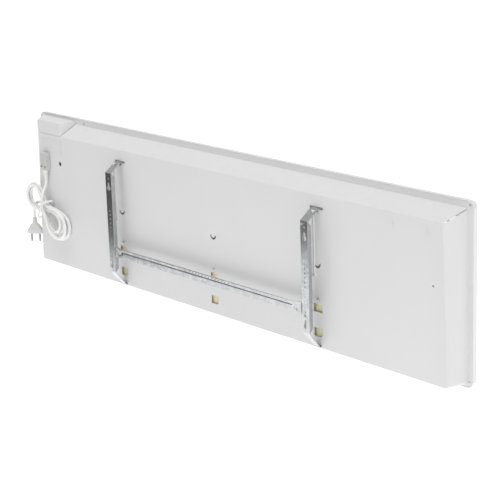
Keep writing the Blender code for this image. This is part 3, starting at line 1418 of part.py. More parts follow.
def make_wires(heater):
    block_x = (ENTRY_X - BLOCK_WIDTH / 4, ENTRY_X + BLOCK_WIDTH / 4)
    block_low = ENTRY_TOP - BLOCK_HEIGHT - GAP
    block_top = ENTRY_TOP + GAP
    middle_y = -SHEET - GAP - BLOCK_DEPTH / 2
    board_low = PANEL_CENTRE_Z - BOARD_HEIGHT / 2
    board_middle = board_front() + WIRE_DIAMETER / 2 + GAP
    board_y = board_front() + BOARD_THICKNESS + 2 * GAP
    terminal_x = ELEMENT_CENTRE_X + ELEMENT_LENGTH / 2 + TERMINAL_LENGTH + 2 * GAP
    high_terminal = ELEMENT_Z + TERMINAL_SPACING / 2
    low_terminal = ELEMENT_Z - TERMINAL_SPACING / 2
    reach = WIRE_DIAMETER * 4
    left, back = Vector((-1.0, 0.0, 0.0)), Vector((0.0, -1.0, 0.0))
    board_x = PANEL_CENTRE_X - BOARD_WIDTH / 2 + reach
    routes = {
        "wire_live": (
            WIRE_BROWN, Vector((block_x[0], middle_y, block_top)), -DOWN,
            [
                Vector((block_x[0], (middle_y + board_y) / 2, board_low + reach)),
                Vector((block_x[0], board_y + reach / 2, PANEL_CENTRE_Z - reach / 4)),
            ],
            Vector((block_x[0], board_y, PANEL_CENTRE_Z)), back,
        ),
        "wire_neutral": (
            WIRE_BLUE, Vector((block_x[1], middle_y, block_low)), DOWN,
            [
                Vector((block_x[1] - reach / 4, ELEMENT_Y, (block_low + low_terminal) / 2)),
                Vector((block_x[1] - reach / 2, ELEMENT_Y, low_terminal + reach)),
            ],
            Vector((terminal_x, ELEMENT_Y, low_terminal)), left,
        ),
        "wire_element": (
            WIRE_BROWN, Vector((board_x, board_middle, board_low - 2 * GAP)), DOWN,
            [
                Vector((board_x, ELEMENT_Y, high_terminal + 3 * reach)),
                Vector((terminal_x + reach, ELEMENT_Y, high_terminal + reach / 2)),
            ],
            Vector((terminal_x, ELEMENT_Y, high_terminal)), left,
        ),
    }
    for name, (finish, start, leaving, route, end, arriving) in routes.items():
        route = straight_ended_route(start, leaving, route, end, arriving, WIRE_DIAMETER, WIRE_POINTS)
        tube(name, rest_on(HINGE_PLACE, route), WIRE_DIAMETER, finish, heater, 1)


# The whole part

def build():
    for old in list(bpy.data.objects):
        bpy.data.objects.remove(old, do_unlink=True)
    wall_frame = empty("wall_frame", (0.0, 0.0, 0.0))
    heater = empty("heater", HINGE, wall_frame)
    make_rear_shell(heater)
    make_front_panel(heater)
    make_outlet_grille(heater)
    make_control_housing(heater)
    make_rating_label(heater)
    make_cord_entry(heater)
    make_screws(heater)
    make_heating_element(heater)
    make_element_supports(heater)
    make_control_panel(heater)
    make_buttons(heater)
    make_inner_parts(heater)
    make_wires(heater)
    make_strain_relief(heater)
    make_cord(heater)
    make_hank_tie(heater)
    make_plug(heater)
    for label, side in (("left", 1), ("right", -1)):
        column_x = side * COLUMN_SPACING
        make_bracket_strip(f"bracket_strip_{label}", wall_frame, column_x, side)
        make_lock_rod(f"lock_rod_{label}", wall_frame, column_x, side)
    make_bracket_rail(wall_frame)
    make_rail_rivets(wall_frame)


build()
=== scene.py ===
"""The looks of a wall-hung convector heater, seen from behind with its bracket and its bundled lead."""

import json
import math

import bmesh
import bpy
from mathutils import Matrix, Vector


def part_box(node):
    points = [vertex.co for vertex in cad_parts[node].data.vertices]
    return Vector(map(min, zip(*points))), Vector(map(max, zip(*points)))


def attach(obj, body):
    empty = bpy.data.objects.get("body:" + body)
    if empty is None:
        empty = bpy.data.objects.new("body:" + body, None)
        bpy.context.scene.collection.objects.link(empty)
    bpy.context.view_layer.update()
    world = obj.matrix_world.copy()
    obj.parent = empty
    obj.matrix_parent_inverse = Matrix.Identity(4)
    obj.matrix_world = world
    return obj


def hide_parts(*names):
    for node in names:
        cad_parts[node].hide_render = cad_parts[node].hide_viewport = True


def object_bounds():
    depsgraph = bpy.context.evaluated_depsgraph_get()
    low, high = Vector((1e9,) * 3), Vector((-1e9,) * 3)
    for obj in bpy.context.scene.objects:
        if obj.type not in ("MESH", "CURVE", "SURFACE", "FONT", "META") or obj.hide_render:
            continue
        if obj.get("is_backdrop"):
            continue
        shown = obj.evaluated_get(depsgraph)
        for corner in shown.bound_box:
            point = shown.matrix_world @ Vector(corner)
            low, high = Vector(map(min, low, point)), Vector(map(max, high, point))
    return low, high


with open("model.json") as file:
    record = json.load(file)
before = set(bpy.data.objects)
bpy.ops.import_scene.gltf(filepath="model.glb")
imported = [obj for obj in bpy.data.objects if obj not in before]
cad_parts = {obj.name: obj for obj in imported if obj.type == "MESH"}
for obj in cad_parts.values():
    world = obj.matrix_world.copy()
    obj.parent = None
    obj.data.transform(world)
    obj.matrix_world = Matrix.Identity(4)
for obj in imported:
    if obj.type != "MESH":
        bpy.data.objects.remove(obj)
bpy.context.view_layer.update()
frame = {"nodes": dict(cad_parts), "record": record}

# Camera, fitted to the corners of the box in the photograph
CAMERA_PLACE = (-2.4295, 1.9244, 0.8896)
CAMERA_RIGHT = (-0.65043, -0.75898, -0.02965)
CAMERA_UP = (0.17842, -0.19061, 0.96531)
CAMERA_BACK = (-0.73831, 0.62258, 0.25940)
CAMERA_LENS = 118.8
CAMERA_SENSOR = 36.0

# Studio
FLOOR_DROP = 0.75
FLOOR_HALF = 40.0
FLOOR_ROUGHNESS = 0.9
FLOOR_COLOUR = (0.96, 0.96, 0.96)
FLOOR_GLOW = 0.62
# Painted shade on one side of the floor: a darker colour and glow there, hidden from the camera, fading in
# along FLOOR_DIM_TOWARDS
FLOOR_PAINTED_SHADE_COLOUR = (0.12, 0.12, 0.12)
FLOOR_PAINTED_SHADE_GLOW = 0.02
FLOOR_DIM_TOWARDS = (0.67, 0.74, 0.0)
FLOOR_DIM_FROM = 3.06
FLOOR_DIM_TO = 3.40
SKY_HIGH = (1.6, 1.6, 1.6)
SKY_LOW = (0.56, 0.56, 0.57)
SKY_LOW_AT = -0.3
SKY_HIGH_AT = 0.6
SKY_STRENGTH = 0.40
KEY_PLACE = (-1.6, 3.0, 2.6)
KEY_SIZE = 2.6
KEY_POWER = 1.0
SIDE_PLACE = (-4.0, -0.4, 1.4)
SIDE_SIZE = 1.8
SIDE_POWER = 11.0
TOP_PLACE = (0.2, 0.7, 3.4)
TOP_SIZE = 2.4
TOP_POWER = 46.0

# Cord
CORD_DIAMETER = 0.0065
CORD_STEPS = 4
CORD_SIDES = 5

# Plug and strain relief
PLUG_WIDTH = 0.0353
PLUG_THICKNESS = 0.0140
PLUG_TURN = math.radians(38.0)
PLUG_SIDES = 40
PLUG_SQUARENESS = 3.0
PLUG_ROUND_SHARE = 0.35
PLUG_CREASE = math.radians(50.0)
PLUG_STATION_SHARES = (
    # width, thickness and drop, each as a share of the plug's
    (0.250, 0.620, 0.000), (0.272, 0.690, 0.015), (0.278, 0.700, 0.060), (0.278, 0.700, 0.100),
    (0.250, 0.640, 0.108), (0.250, 0.640, 0.128), (0.278, 0.700, 0.136), (0.280, 0.700, 0.180),
    (0.252, 0.640, 0.188), (0.252, 0.640, 0.208), (0.282, 0.705, 0.216), (0.290, 0.710, 0.300),
    (0.380, 0.740, 0.360), (0.560, 0.820, 0.425), (0.660, 0.865, 0.500), (0.740, 0.900, 0.570),
    (0.860, 0.950, 0.650), (0.950, 0.985, 0.710), (0.985, 1.000, 0.770), (1.000, 1.000, 0.860),
    (1.000, 0.995, 0.945), (0.985, 0.965, 0.980), (0.950, 0.910, 1.000),
)
RELIEF_COLLAR_SHARE = 0.34
RELIEF_RINGS = 4
RELIEF_TAPER_SHARE = 0.90
RELIEF_FALL_SHARE = 0.05
RELIEF_GROOVE_SHARE = 0.80
RELIEF_RING_SHARES = (0.05, 0.25, 0.35, 0.98)
RELIEF_WALL = 0.0006
RELIEF_SIDES = 28
PIN_SIDES = 24
PIN_TIP_STEPS = 5
PIN_TIP_ANGLE = math.radians(85.0)
TIE_EDGE = 0.0002
TIE_CREASE = math.radians(60.0)

# Screws, rivets and buttons
SUPPORT_SCREW_HEAD = 0.0020
SUPPORT_SCREW_SHANK = 0.0017
SMALL_SCREW_HEAD = 0.0014
SMALL_SCREW_SHANK = 0.0012
SCREW_SIDES = 28
SCREW_HEAD_SHARES = (
    # of the head's radius and of its height, from the crown down
    (0.05, 0.0), (0.45, 0.08), (0.78, 0.30), (0.96, 0.62), (1.0, 0.78), (1.0, 1.0),
)
SHANK_LENGTH_SHARE = 0.92
SHANK_TIP_SHARE = 0.5
RECESS_ARM_SHARE = 0.55
RECESS_SLIM_SHARE = 0.14
RECESS_FLOOR_SHARE = 0.55
RECESS_DEPTH_SHARE = 0.6
RIVET_EDGE = 0.0003
BUTTON_EDGE = 0.0003

# How finely the carried-over sheet metal and mouldings are finished
WELD = 0.00002
FLAT_ANGLE = math.radians(0.8)
CREASE_ANGLE = math.radians(32.0)
EDGE_STEPS = 2
LONG_EDGE = 0.012

# Where each surface effect starts and ends in its noise, and how coarse it is
CLOUD_BAND = (0.32, 0.68)
CLOUD_DETAIL = 3.0
GRAIN_BAND = (0.4, 0.6)
SPANGLE_BAND = (0.35, 1.0)
SPANGLE_SHARE = 0.45
ROLLING_SCALE = 60.0
ROLLING_DETAIL = 4.0
DUST_FACING_BAND = (0.2, 1.0)
DUST_PATCH_BAND = (0.35, 0.7)
DUST_DETAIL = 5.0

# Sockets of the node that mixes two colours
MIX_FACTOR = 0
MIX_FIRST = 6
MIX_SECOND = 7
MIX_RESULT = 2

# The cord's route from the strain relief's foot to the plug's neck, as in the CAD part
CORD_ROUTE = (
    (0.5688, -0.0242, 0.1133), (0.5688, -0.0242, 0.1100), (0.5678, -0.0213, 0.1001),
    (0.5659, -0.0154, 0.0917), (0.5639, -0.0093, 0.0834), (0.5627, -0.0056, 0.0738),
    (0.5632, -0.0051, 0.0634), (0.5628, -0.0054, 0.0529), (0.5592, -0.0054, 0.0431),
    (0.5541, -0.0054, 0.0339), (0.5497, -0.0053, 0.0244), (0.5458, -0.0051, 0.0147),
    (0.5409, -0.0052, 0.0054), (0.5342, -0.0058, -0.0026), (0.5257, -0.0073, -0.0084),
    (0.5157, -0.0095, -0.0104), (0.5057, -0.0115, -0.0084), (0.4969, -0.0124, -0.0028),
    (0.4909, -0.0124, 0.0057), (0.4887, -0.0124, 0.0159), (0.4904, -0.0124, 0.0262),
    (0.4959, -0.0124, 0.0350), (0.5043, -0.0124, 0.0413), (0.5070, -0.0124, 0.0430),
    (0.5129, -0.0124, 0.0465), (0.5285, -0.0124, 0.0510), (0.5460, -0.0124, 0.0524),
    (0.5612, -0.0124, 0.0575), (0.5725, -0.0124, 0.0692), (0.5824, -0.0124, 0.0833),
    (0.5942, -0.0124, 0.0929), (0.6066, -0.0124, 0.0950), (0.6183, -0.0124, 0.0909),
    (0.6264, -0.0124, 0.0818), (0.6291, -0.0124, 0.0700), (0.6258, -0.0124, 0.0586),
    (0.6175, -0.0124, 0.0503), (0.6022, -0.0124, 0.0456), (0.5847, -0.0124, 0.0442),
    (0.5693, -0.0124, 0.0394), (0.5578, -0.0124, 0.0279), (0.5480, -0.0124, 0.0137),
    (0.5365, -0.0124, 0.0040), (0.5261, -0.0124, 0.0020), (0.5161, -0.0124, 0.0054),
    (0.5092, -0.0124, 0.0129), (0.5068, -0.0124, 0.0228), (0.5094, -0.0124, 0.0324),
    (0.5162, -0.0124, 0.0394), (0.5312, -0.0129, 0.0441), (0.5487, -0.0142, 0.0456),
    (0.5642, -0.0159, 0.0502), (0.5754, -0.0177, 0.0620), (0.5849, -0.0190, 0.0767),
    (0.5960, -0.0194, 0.0873), (0.6055, -0.0194, 0.0899), (0.6152, -0.0194, 0.0875),
    (0.6226, -0.0194, 0.0806), (0.6259, -0.0194, 0.0709), (0.6239, -0.0194, 0.0606),
    (0.6172, -0.0194, 0.0524), (0.6028, -0.0194, 0.0469), (0.5857, -0.0194, 0.0449),
    (0.5703, -0.0194, 0.0400), (0.5589, -0.0194, 0.0284), (0.5495, -0.0194, 0.0137),
    (0.5382, -0.0194, 0.0026), (0.5269, -0.0194, -0.0006), (0.5153, -0.0194, 0.0021),
    (0.5063, -0.0194, 0.0102), (0.5023, -0.0194, 0.0217), (0.5044, -0.0194, 0.0339),
    (0.5122, -0.0194, 0.0437), (0.5265, -0.0194, 0.0495), (0.5437, -0.0194, 0.0515),
    (0.5591, -0.0194, 0.0563), (0.5707, -0.0194, 0.0676), (0.5801, -0.0194, 0.0823),
    (0.5915, -0.0194, 0.0937), (0.6046, -0.0194, 0.0977), (0.6181, -0.0194, 0.0948),
    (0.6287, -0.0194, 0.0856), (0.6336, -0.0194, 0.0722), (0.6314, -0.0194, 0.0581),
    (0.6225, -0.0194, 0.0466), (0.6081, -0.0194, 0.0405), (0.5910, -0.0194, 0.0384),
    (0.5754, -0.0194, 0.0339), (0.5637, -0.0194, 0.0228), (0.5543, -0.0194, 0.0081),
    (0.5430, -0.0194, -0.0036), (0.5374, -0.0194, -0.0069), (0.5316, -0.0194, -0.0104),
    (0.5235, -0.0193, -0.0135), (0.5149, -0.0198, -0.0139), (0.5066, -0.0210, -0.0117),
    (0.4996, -0.0228, -0.0070), (0.4944, -0.0246, -0.0004), (0.4914, -0.0259, 0.0077),
    (0.4911, -0.0265, 0.0163), (0.4937, -0.0264, 0.0245), (0.4982, -0.0264, 0.0319),
    (0.5050, -0.0264, 0.0372), (0.5130, -0.0264, 0.0406), (0.5213, -0.0264, 0.0429),
    (0.5299, -0.0264, 0.0445), (0.5385, -0.0264, 0.0458), (0.5470, -0.0264, 0.0470),
    (0.5556, -0.0264, 0.0485), (0.5640, -0.0264, 0.0504), (0.5725, -0.0264, 0.0524),
    (0.5810, -0.0264, 0.0540), (0.5896, -0.0264, 0.0550), (0.5983, -0.0264, 0.0551),
    (0.6069, -0.0264, 0.0542), (0.6150, -0.0264, 0.0512), (0.6217, -0.0264, 0.0458),
    (0.6263, -0.0264, 0.0385), (0.6283, -0.0264, 0.0301), (0.6285, -0.0264, 0.0214),
    (0.6285, -0.0264, 0.0149),
)

# Studio and camera

def link(thing):
    bpy.context.scene.collection.objects.link(thing)
    return thing


def make_camera():
    lens = bpy.data.cameras.new("photo_camera")
    lens.lens = CAMERA_LENS
    lens.sensor_width = CAMERA_SENSOR
    lens.clip_end = FLOOR_HALF * 2
    camera = link(bpy.data.objects.new("photo_camera", lens))
    turn = Matrix((CAMERA_RIGHT, CAMERA_UP, CAMERA_BACK)).transposed().to_4x4()
    camera.matrix_world = Matrix.Translation(CAMERA_PLACE) @ turn
    bpy.context.scene.camera = camera


def soft_light(name, place, size, power):
    lamp = bpy.data.lights.new(name, "AREA")
    lamp.shape = "DISK"
    lamp.size = size
    lamp.energy = power
    light = link(bpy.data.objects.new(name, lamp))
    light.location = place
    low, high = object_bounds()
    aim = (low + high) / 2 - light.location
    light.rotation_euler = aim.to_track_quat("-Z", "Y").to_euler()


def make_sky():
    world = bpy.data.worlds.new("studio_sky")
    bpy.context.scene.world = world
    world.use_nodes = True
    tree = world.node_tree
    where = tree.nodes.new("ShaderNodeTexCoord")
    split = tree.nodes.new("ShaderNodeSeparateXYZ")
    height = tree.nodes.new("ShaderNodeMapRange")
    height.inputs["From Min"].default_value = SKY_LOW_AT
    height.inputs["From Max"].default_value = SKY_HIGH_AT
    tree.links.new(where.outputs["Generated"], split.inputs[0])
    tree.links.new(split.outputs["Z"], height.inputs["Value"])
    tone = mixed_colour(tree, height.outputs["Result"], (*SKY_LOW, 1.0), (*SKY_HIGH, 1.0))
    sky = tree.nodes["Background"]
    tree.links.new(tone, sky.inputs["Color"])
    sky.inputs["Strength"].default_value = SKY_STRENGTH


def floor_finish():
    """Plain and pale to the camera. To every other ray one side is painted in shade, darker in colour and
    glow, which gives the metal a painted dark reflection and the heater less light from that side.
    """
    finish = bpy.data.materials.new("studio_floor")
    finish.use_nodes = True
    tree = finish.node_tree
    where = tree.nodes.new("ShaderNodeTexCoord")
    along = tree.nodes.new("ShaderNodeVectorMath")
    along.operation = "DOT_PRODUCT"
    along.inputs[1].default_value = FLOOR_DIM_TOWARDS
    tree.links.new(where.outputs["Object"], along.inputs[0])
    # painted shade: a band on one side of the floor, cut away for camera rays below
    painted_shade_band = banded(tree, along.outputs["Value"], FLOOR_DIM_FROM, FLOOR_DIM_TO)
    rays = tree.nodes.new("ShaderNodeLightPath")
    unseen = tree.nodes.new("ShaderNodeMath")
    unseen.operation = "SUBTRACT"
    unseen.use_clamp = True
    tree.links.new(painted_shade_band, unseen.inputs[0])
    tree.links.new(rays.outputs["Is Camera Ray"], unseen.inputs[1])
    painted_shade_mask = unseen.outputs[0]
    lit_glow, glow_in_painted_shade = [(level, level, level, 1.0) for level in (FLOOR_GLOW, FLOOR_PAINTED_SHADE_GLOW)]
    colour = mixed_colour(tree, painted_shade_mask, (*FLOOR_COLOUR, 1.0), (*FLOOR_PAINTED_SHADE_COLOUR, 1.0))
    glow = mixed_colour(tree, painted_shade_mask, lit_glow, glow_in_painted_shade)
    shader = tree.nodes["Principled BSDF"]
    tree.links.new(colour, shader.inputs["Base Color"])
    tree.links.new(glow, shader.inputs["Emission Color"])
    shader.inputs["Emission Strength"].default_value = 1.0
    shader.inputs["Roughness"].default_value = FLOOR_ROUGHNESS
    return finish


def make_floor():
    shape = bpy.data.meshes.new("studio_floor")
    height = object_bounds()[0].z - FLOOR_DROP
    signs = ((-1, -1), (1, -1), (1, 1), (-1, 1))
    corners = [(x * FLOOR_HALF, y * FLOOR_HALF, height) for x, y in signs]
    shape.from_pydata(corners, [], [(0, 1, 2, 3)])
    shape.materials.append(floor_finish())
    floor = link(bpy.data.objects.new("studio_floor", shape))
    floor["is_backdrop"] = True


# Shared surface effects, as shader node groups

def new_group(name, inputs, outputs):
    group = bpy.data.node_groups.new(name, "ShaderNodeTree")
    for label, kind, value in inputs:
        socket = group.interface.new_socket(label, in_out="INPUT", socket_type=kind)
        socket.default_value = value
    for label, kind in outputs:
        group.interface.new_socket(label, in_out="OUTPUT", socket_type=kind)
    group_in = group.nodes.new("NodeGroupInput")
    group_out = group.nodes.new("NodeGroupOutput")
    return group, group_in, group_out


def stretched_place(group, group_in, stretch):
    where = group.nodes.new("ShaderNodeTexCoord")
    scaled = group.nodes.new("ShaderNodeVectorMath")
    scaled.operation = "MULTIPLY"
    group.links.new(where.outputs["Object"], scaled.inputs[0])
    group.links.new(group_in.outputs[stretch], scaled.inputs[1])
    return scaled.outputs[0]


def mixed_colour(tree, factor, first, second):
    mix = tree.nodes.new("ShaderNodeMix")
    mix.data_type = "RGBA"
    for index, value in ((MIX_FACTOR, factor), (MIX_FIRST, first), (MIX_SECOND, second)):
        if isinstance(value, bpy.types.NodeSocket):
            tree.links.new(value, mix.inputs[index])
        else:
            mix.inputs[index].default_value = value
    return mix.outputs[MIX_RESULT]


def banded(tree, value, low, high):
    band = tree.nodes.new("ShaderNodeMapRange")
    band.interpolation_type = "SMOOTHSTEP"
    band.inputs["From Min"].default_value = low
    band.inputs["From Max"].default_value = high
    tree.links.new(value, band.inputs["Value"])
    return band.outputs["Result"]


def make_cloud_group():
    """Slow drifts between two tones, as sheet and mouldings show."""
    group, group_in, group_out = new_group(
        "cloudy_tone",
        [("Stretch", "NodeSocketVector", (1.0, 1.0, 1.0)), ("Scale", "NodeSocketFloat", 6.0),
         ("First", "NodeSocketColor", (0.8, 0.8, 0.8, 1.0)),
         ("Second", "NodeSocketColor", (0.7, 0.7, 0.7, 1.0))],
        [("Color", "NodeSocketColor"), ("Mask", "NodeSocketFloat")],
    )
    noise = group.nodes.new("ShaderNodeTexNoise")
    noise.inputs["Detail"].default_value = CLOUD_DETAIL
    group.links.new(stretched_place(group, group_in, "Stretch"), noise.inputs["Vector"])
    group.links.new(group_in.outputs["Scale"], noise.inputs["Scale"])
    mask = banded(group, noise.outputs["Fac"], *CLOUD_BAND)
    tone = mixed_colour(group, mask, group_in.outputs["First"], group_in.outputs["Second"])
    group.links.new(tone, group_out.inputs["Color"])
    group.links.new(mask, group_out.inputs["Mask"])
    return group


def make_grain_group():
    """Fine grain for coats and mouldings: a height and the same as a mask."""
    group, group_in, group_out = new_group(
        "fine_grain",
        [("Stretch", "NodeSocketVector", (1.0, 1.0, 1.0)), ("Scale", "NodeSocketFloat", 900.0),
         ("Detail", "NodeSocketFloat", 2.0)],
        [("Height", "NodeSocketFloat"), ("Mask", "NodeSocketFloat")],
    )
    noise = group.nodes.new("ShaderNodeTexNoise")
    group.links.new(stretched_place(group, group_in, "Stretch"), noise.inputs["Vector"])
    group.links.new(group_in.outputs["Scale"], noise.inputs["Scale"])
    group.links.new(group_in.outputs["Detail"], noise.inputs["Detail"])
    group.links.new(noise.outputs["Fac"], group_out.inputs["Height"])
    group.links.new(banded(group, noise.outputs["Fac"], *GRAIN_BAND), group_out.inputs["Mask"])
    return group


def make_spangle_group():
    """The frost-like crystals of a zinc coat, with rolling lines over them."""
    group, group_in, group_out = new_group(
        "zinc_spangle",
        [("Stretch", "NodeSocketVector", (1.0, 1.0, 1.0)), ("Scale", "NodeSocketFloat", 220.0),
         ("Bright", "NodeSocketColor", (0.8, 0.8, 0.8, 1.0)),
         ("Dull", "NodeSocketColor", (0.5, 0.5, 0.5, 1.0))],
        [("Color", "NodeSocketColor"), ("Mask", "NodeSocketFloat"), ("Height", "NodeSocketFloat")],
    )
    place = stretched_place(group, group_in, "Stretch")
    cells = group.nodes.new("ShaderNodeTexVoronoi")
    group.links.new(place, cells.inputs["Vector"])
    group.links.new(group_in.outputs["Scale"], cells.inputs["Scale"])
    split = group.nodes.new("ShaderNodeSeparateColor")
    group.links.new(cells.outputs["Color"], split.inputs[0])
    rolling = group.nodes.new("ShaderNodeTexNoise")
    rolling.inputs["Scale"].default_value = ROLLING_SCALE
    rolling.inputs["Detail"].default_value = ROLLING_DETAIL
    group.links.new(place, rolling.inputs["Vector"])
    both = group.nodes.new("ShaderNodeMath")
    both.operation = "MULTIPLY_ADD"
    both.inputs[1].default_value = SPANGLE_SHARE
    group.links.new(split.outputs[0], both.inputs[0])
    group.links.new(rolling.outputs["Fac"], both.inputs[2])
    mask = banded(group, both.outputs[0], *SPANGLE_BAND)
    tone = mixed_colour(group, mask, group_in.outputs["Bright"], group_in.outputs["Dull"])
    group.links.new(tone, group_out.inputs["Color"])
    group.links.new(mask, group_out.inputs["Mask"])
    group.links.new(both.outputs[0], group_out.inputs["Height"])
    return group


def make_dust_group():
    """Light dust that gathers on what faces up, broken up by noise."""
    group, group_in, group_out = new_group(
        "settled_dust",
        [("Clean", "NodeSocketColor", (0.8, 0.8, 0.8, 1.0)),
         ("Dust", "NodeSocketColor", (0.6, 0.59, 0.57, 1.0)),
         ("Amount", "NodeSocketFloat", 0.2), ("Scale", "NodeSocketFloat", 40.0)],
        [("Color", "NodeSocketColor")],
    )
    facing = group.nodes.new("ShaderNodeNewGeometry")
    split = group.nodes.new("ShaderNodeSeparateXYZ")
    group.links.new(facing.outputs["Normal"], split.inputs[0])
    up = banded(group, split.outputs["Z"], *DUST_FACING_BAND)
    where = group.nodes.new("ShaderNodeTexCoord")
    noise = group.nodes.new("ShaderNodeTexNoise")
    noise.inputs["Detail"].default_value = DUST_DETAIL
    group.links.new(where.outputs["Object"], noise.inputs["Vector"])
    group.links.new(group_in.outputs["Scale"], noise.inputs["Scale"])
    patch = banded(group, noise.outputs["Fac"], *DUST_PATCH_BAND)
    on_top = group.nodes.new("ShaderNodeMath")
    on_top.operation = "MULTIPLY"
    group.links.new(up, on_top.inputs[0])
    group.links.new(patch, on_top.inputs[1])
    amount = group.nodes.new("ShaderNodeMath")
    amount.operation = "MULTIPLY"
    group.links.new(on_top.outputs[0], amount.inputs[0])
    group.links.new(group_in.outputs["Amount"], amount.inputs[1])
    tone = mixed_colour(group, amount.outputs[0], group_in.outputs["Clean"], group_in.outputs["Dust"])
    group.links.new(tone, group_out.inputs["Color"])
    return group


# Materials, each in its own function

def place_group(tree, group, **values):
    node = tree.nodes.new("ShaderNodeGroup")
    node.node_tree = group
    for label, value in values.items():
        socket = node.inputs[label]
        if isinstance(value, bpy.types.NodeSocket):
            tree.links.new(value, socket)
        else:
            socket.default_value = value
    return node


def new_finish(name, metallic=0.0, specular=0.5, coat=0.0, coat_roughness=0.1):
    finish = bpy.data.materials.new(name)
    finish.use_nodes = True
    shader = finish.node_tree.nodes["Principled BSDF"]
    shader.inputs["Metallic"].default_value = metallic
    shader.inputs["Specular IOR Level"].default_value = specular
    shader.inputs["Coat Weight"].default_value = coat
    shader.inputs["Coat Roughness"].default_value = coat_roughness
    return finish, finish.node_tree, shader


def rough_between(tree, shader, mask, low, high):
    span = tree.nodes.new("ShaderNodeMapRange")
    span.inputs["To Min"].default_value = low
    span.inputs["To Max"].default_value = high
    tree.links.new(mask, span.inputs["Value"])
    tree.links.new(span.outputs["Result"], shader.inputs["Roughness"])


def raise_surface(tree, shader, height, strength, distance):
    bump = tree.nodes.new("ShaderNodeBump")
    bump.inputs["Strength"].default_value = strength
    bump.inputs["Distance"].default_value = distance
    tree.links.new(height, bump.inputs["Height"])
    tree.links.new(bump.outputs["Normal"], shader.inputs["Normal"])


def coated_sheet(name, first, second, groups, roughness):
    """Powder-coated steel: a slight drift in tone, orange-peel skin and a little dust on top."""
    finish, tree, shader = new_finish(name, specular=0.45)
    cloud = place_group(tree, groups["cloud"], Scale=3.0, First=first, Second=second)
    dust = place_group(tree, groups["dust"], Clean=cloud.outputs["Color"], Dust=(0.62, 0.61, 0.59, 1.0),
                       Amount=0.10, Scale=60.0)
    tree.links.new(dust.outputs["Color"], shader.inputs["Base Color"])
    peel = place_group(tree, groups["grain"], Scale=420.0, Detail=1.5)
    rough_between(tree, shader, cloud.outputs["Mask"], *roughness)
    raise_surface(tree, shader, peel.outputs["Height"], 0.12, 0.0004)
    return finish


def moulded_plastic(name, first, second, groups, roughness=(0.42, 0.52), grain=1400.0, skin=0.15):
    """Moulded plastic with a fine spark-eroded skin."""
    finish, tree, shader = new_finish(name, specular=0.5)
    cloud = place_group(tree, groups["cloud"], Scale=25.0, First=first, Second=second)
    dust = place_group(tree, groups["dust"], Clean=cloud.outputs["Color"], Amount=0.08, Scale=150.0)
    tree.links.new(dust.outputs["Color"], shader.inputs["Base Color"])
    skin_grain = place_group(tree, groups["grain"], Scale=grain, Detail=2.0)
    rough_between(tree, shader, skin_grain.outputs["Mask"], *roughness)
    raise_surface(tree, shader, skin_grain.outputs["Height"], skin, 0.0002)
    return finish


def soft_pvc(name, pale, deep, groups):
    """The flexible white PVC of the lead and the plug, with a faint mottle and drawn marks."""
    finish, tree, shader = new_finish(name, specular=0.5)
    cloud = place_group(tree, groups["cloud"], Scale=90.0, First=pale, Second=deep)
    tree.links.new(cloud.outputs["Color"], shader.inputs["Base Color"])
    drawn = place_group(tree, groups["grain"], Scale=1100.0, Detail=3.0)
    rough_between(tree, shader, drawn.outputs["Mask"], 0.34, 0.46)
    raise_surface(tree, shader, drawn.outputs["Height"], 0.12, 0.0001)
    return finish


def zinc_sheet(name, bright, dull, groups, roughness):
    """Zinc-coated steel, with spangle and rolling lines."""
    finish, tree, shader = new_finish(name, metallic=1.0)
    spangle = place_group(tree, groups["spangle"], Scale=420.0, Bright=bright, Dull=dull)
    tree.links.new(spangle.outputs["Color"], shader.inputs["Base Color"])
    rough_between(tree, shader, spangle.outputs["Mask"], *roughness)
    raise_surface(tree, shader, spangle.outputs["Height"], 0.04, 0.0001)
    return finish


def passivated_sheet(name, groups):
    """Yellow-passivated zinc: pale straw with darker, greenish drifts."""
    finish, tree, shader = new_finish(name, metallic=0.15)
    cloud = place_group(tree, groups["cloud"], Scale=55.0, First=(0.93, 0.90, 0.64, 1.0),
                        Second=(0.78, 0.74, 0.47, 1.0))
    blush = place_group(tree, groups["cloud"], Scale=130.0, First=cloud.outputs["Color"],
                        Second=(0.86, 0.81, 0.53, 1.0))
    tree.links.new(blush.outputs["Color"], shader.inputs["Base Color"])
    rough_between(tree, shader, cloud.outputs["Mask"], 0.34, 0.5)
    grain = place_group(tree, groups["grain"], Scale=800.0)
    raise_surface(tree, shader, grain.outputs["Height"], 0.12, 0.0002)
    return finish


def drawn_metal(name, bright, dull, groups, stretch, roughness=(0.22, 0.36)):
    """Turned, drawn or extruded metal, with lines along one way."""
    finish, tree, shader = new_finish(name, metallic=1.0)
    cloud = place_group(tree, groups["cloud"], Stretch=stretch, Scale=160.0, First=bright, Second=dull)
    tree.links.new(cloud.outputs["Color"], shader.inputs["Base Color"])
    lines = place_group(tree, groups["grain"], Stretch=stretch, Scale=1500.0)
    rough_between(tree, shader, lines.outputs["Mask"], *roughness)
    raise_surface(tree, shader, lines.outputs["Height"], 0.15, 0.0001)
    return finish


def circuit_resist(name, groups):
    """Green solder resist with copper paths just visible under it."""
    finish, tree, shader = new_finish(name, coat=0.5, coat_roughness=0.2)
    where = tree.nodes.new("ShaderNodeTexCoord")
    paths = tree.nodes.new("ShaderNodeTexBrick")
    paths.inputs["Scale"].default_value = 60.0
    paths.inputs["Mortar Size"].default_value = 0.03
    tree.links.new(where.outputs["Object"], paths.inputs["Vector"])
    board = mixed_colour(tree, paths.outputs["Fac"], (0.03, 0.15, 0.07, 1.0), (0.05, 0.24, 0.10, 1.0))
    tree.links.new(board, shader.inputs["Base Color"])
    grain = place_group(tree, groups["grain"], Scale=1200.0)
    rough_between(tree, shader, grain.outputs["Mask"], 0.35, 0.5)
    raise_surface(tree, shader, paths.outputs["Fac"], 0.3, 0.0001)
    return finish


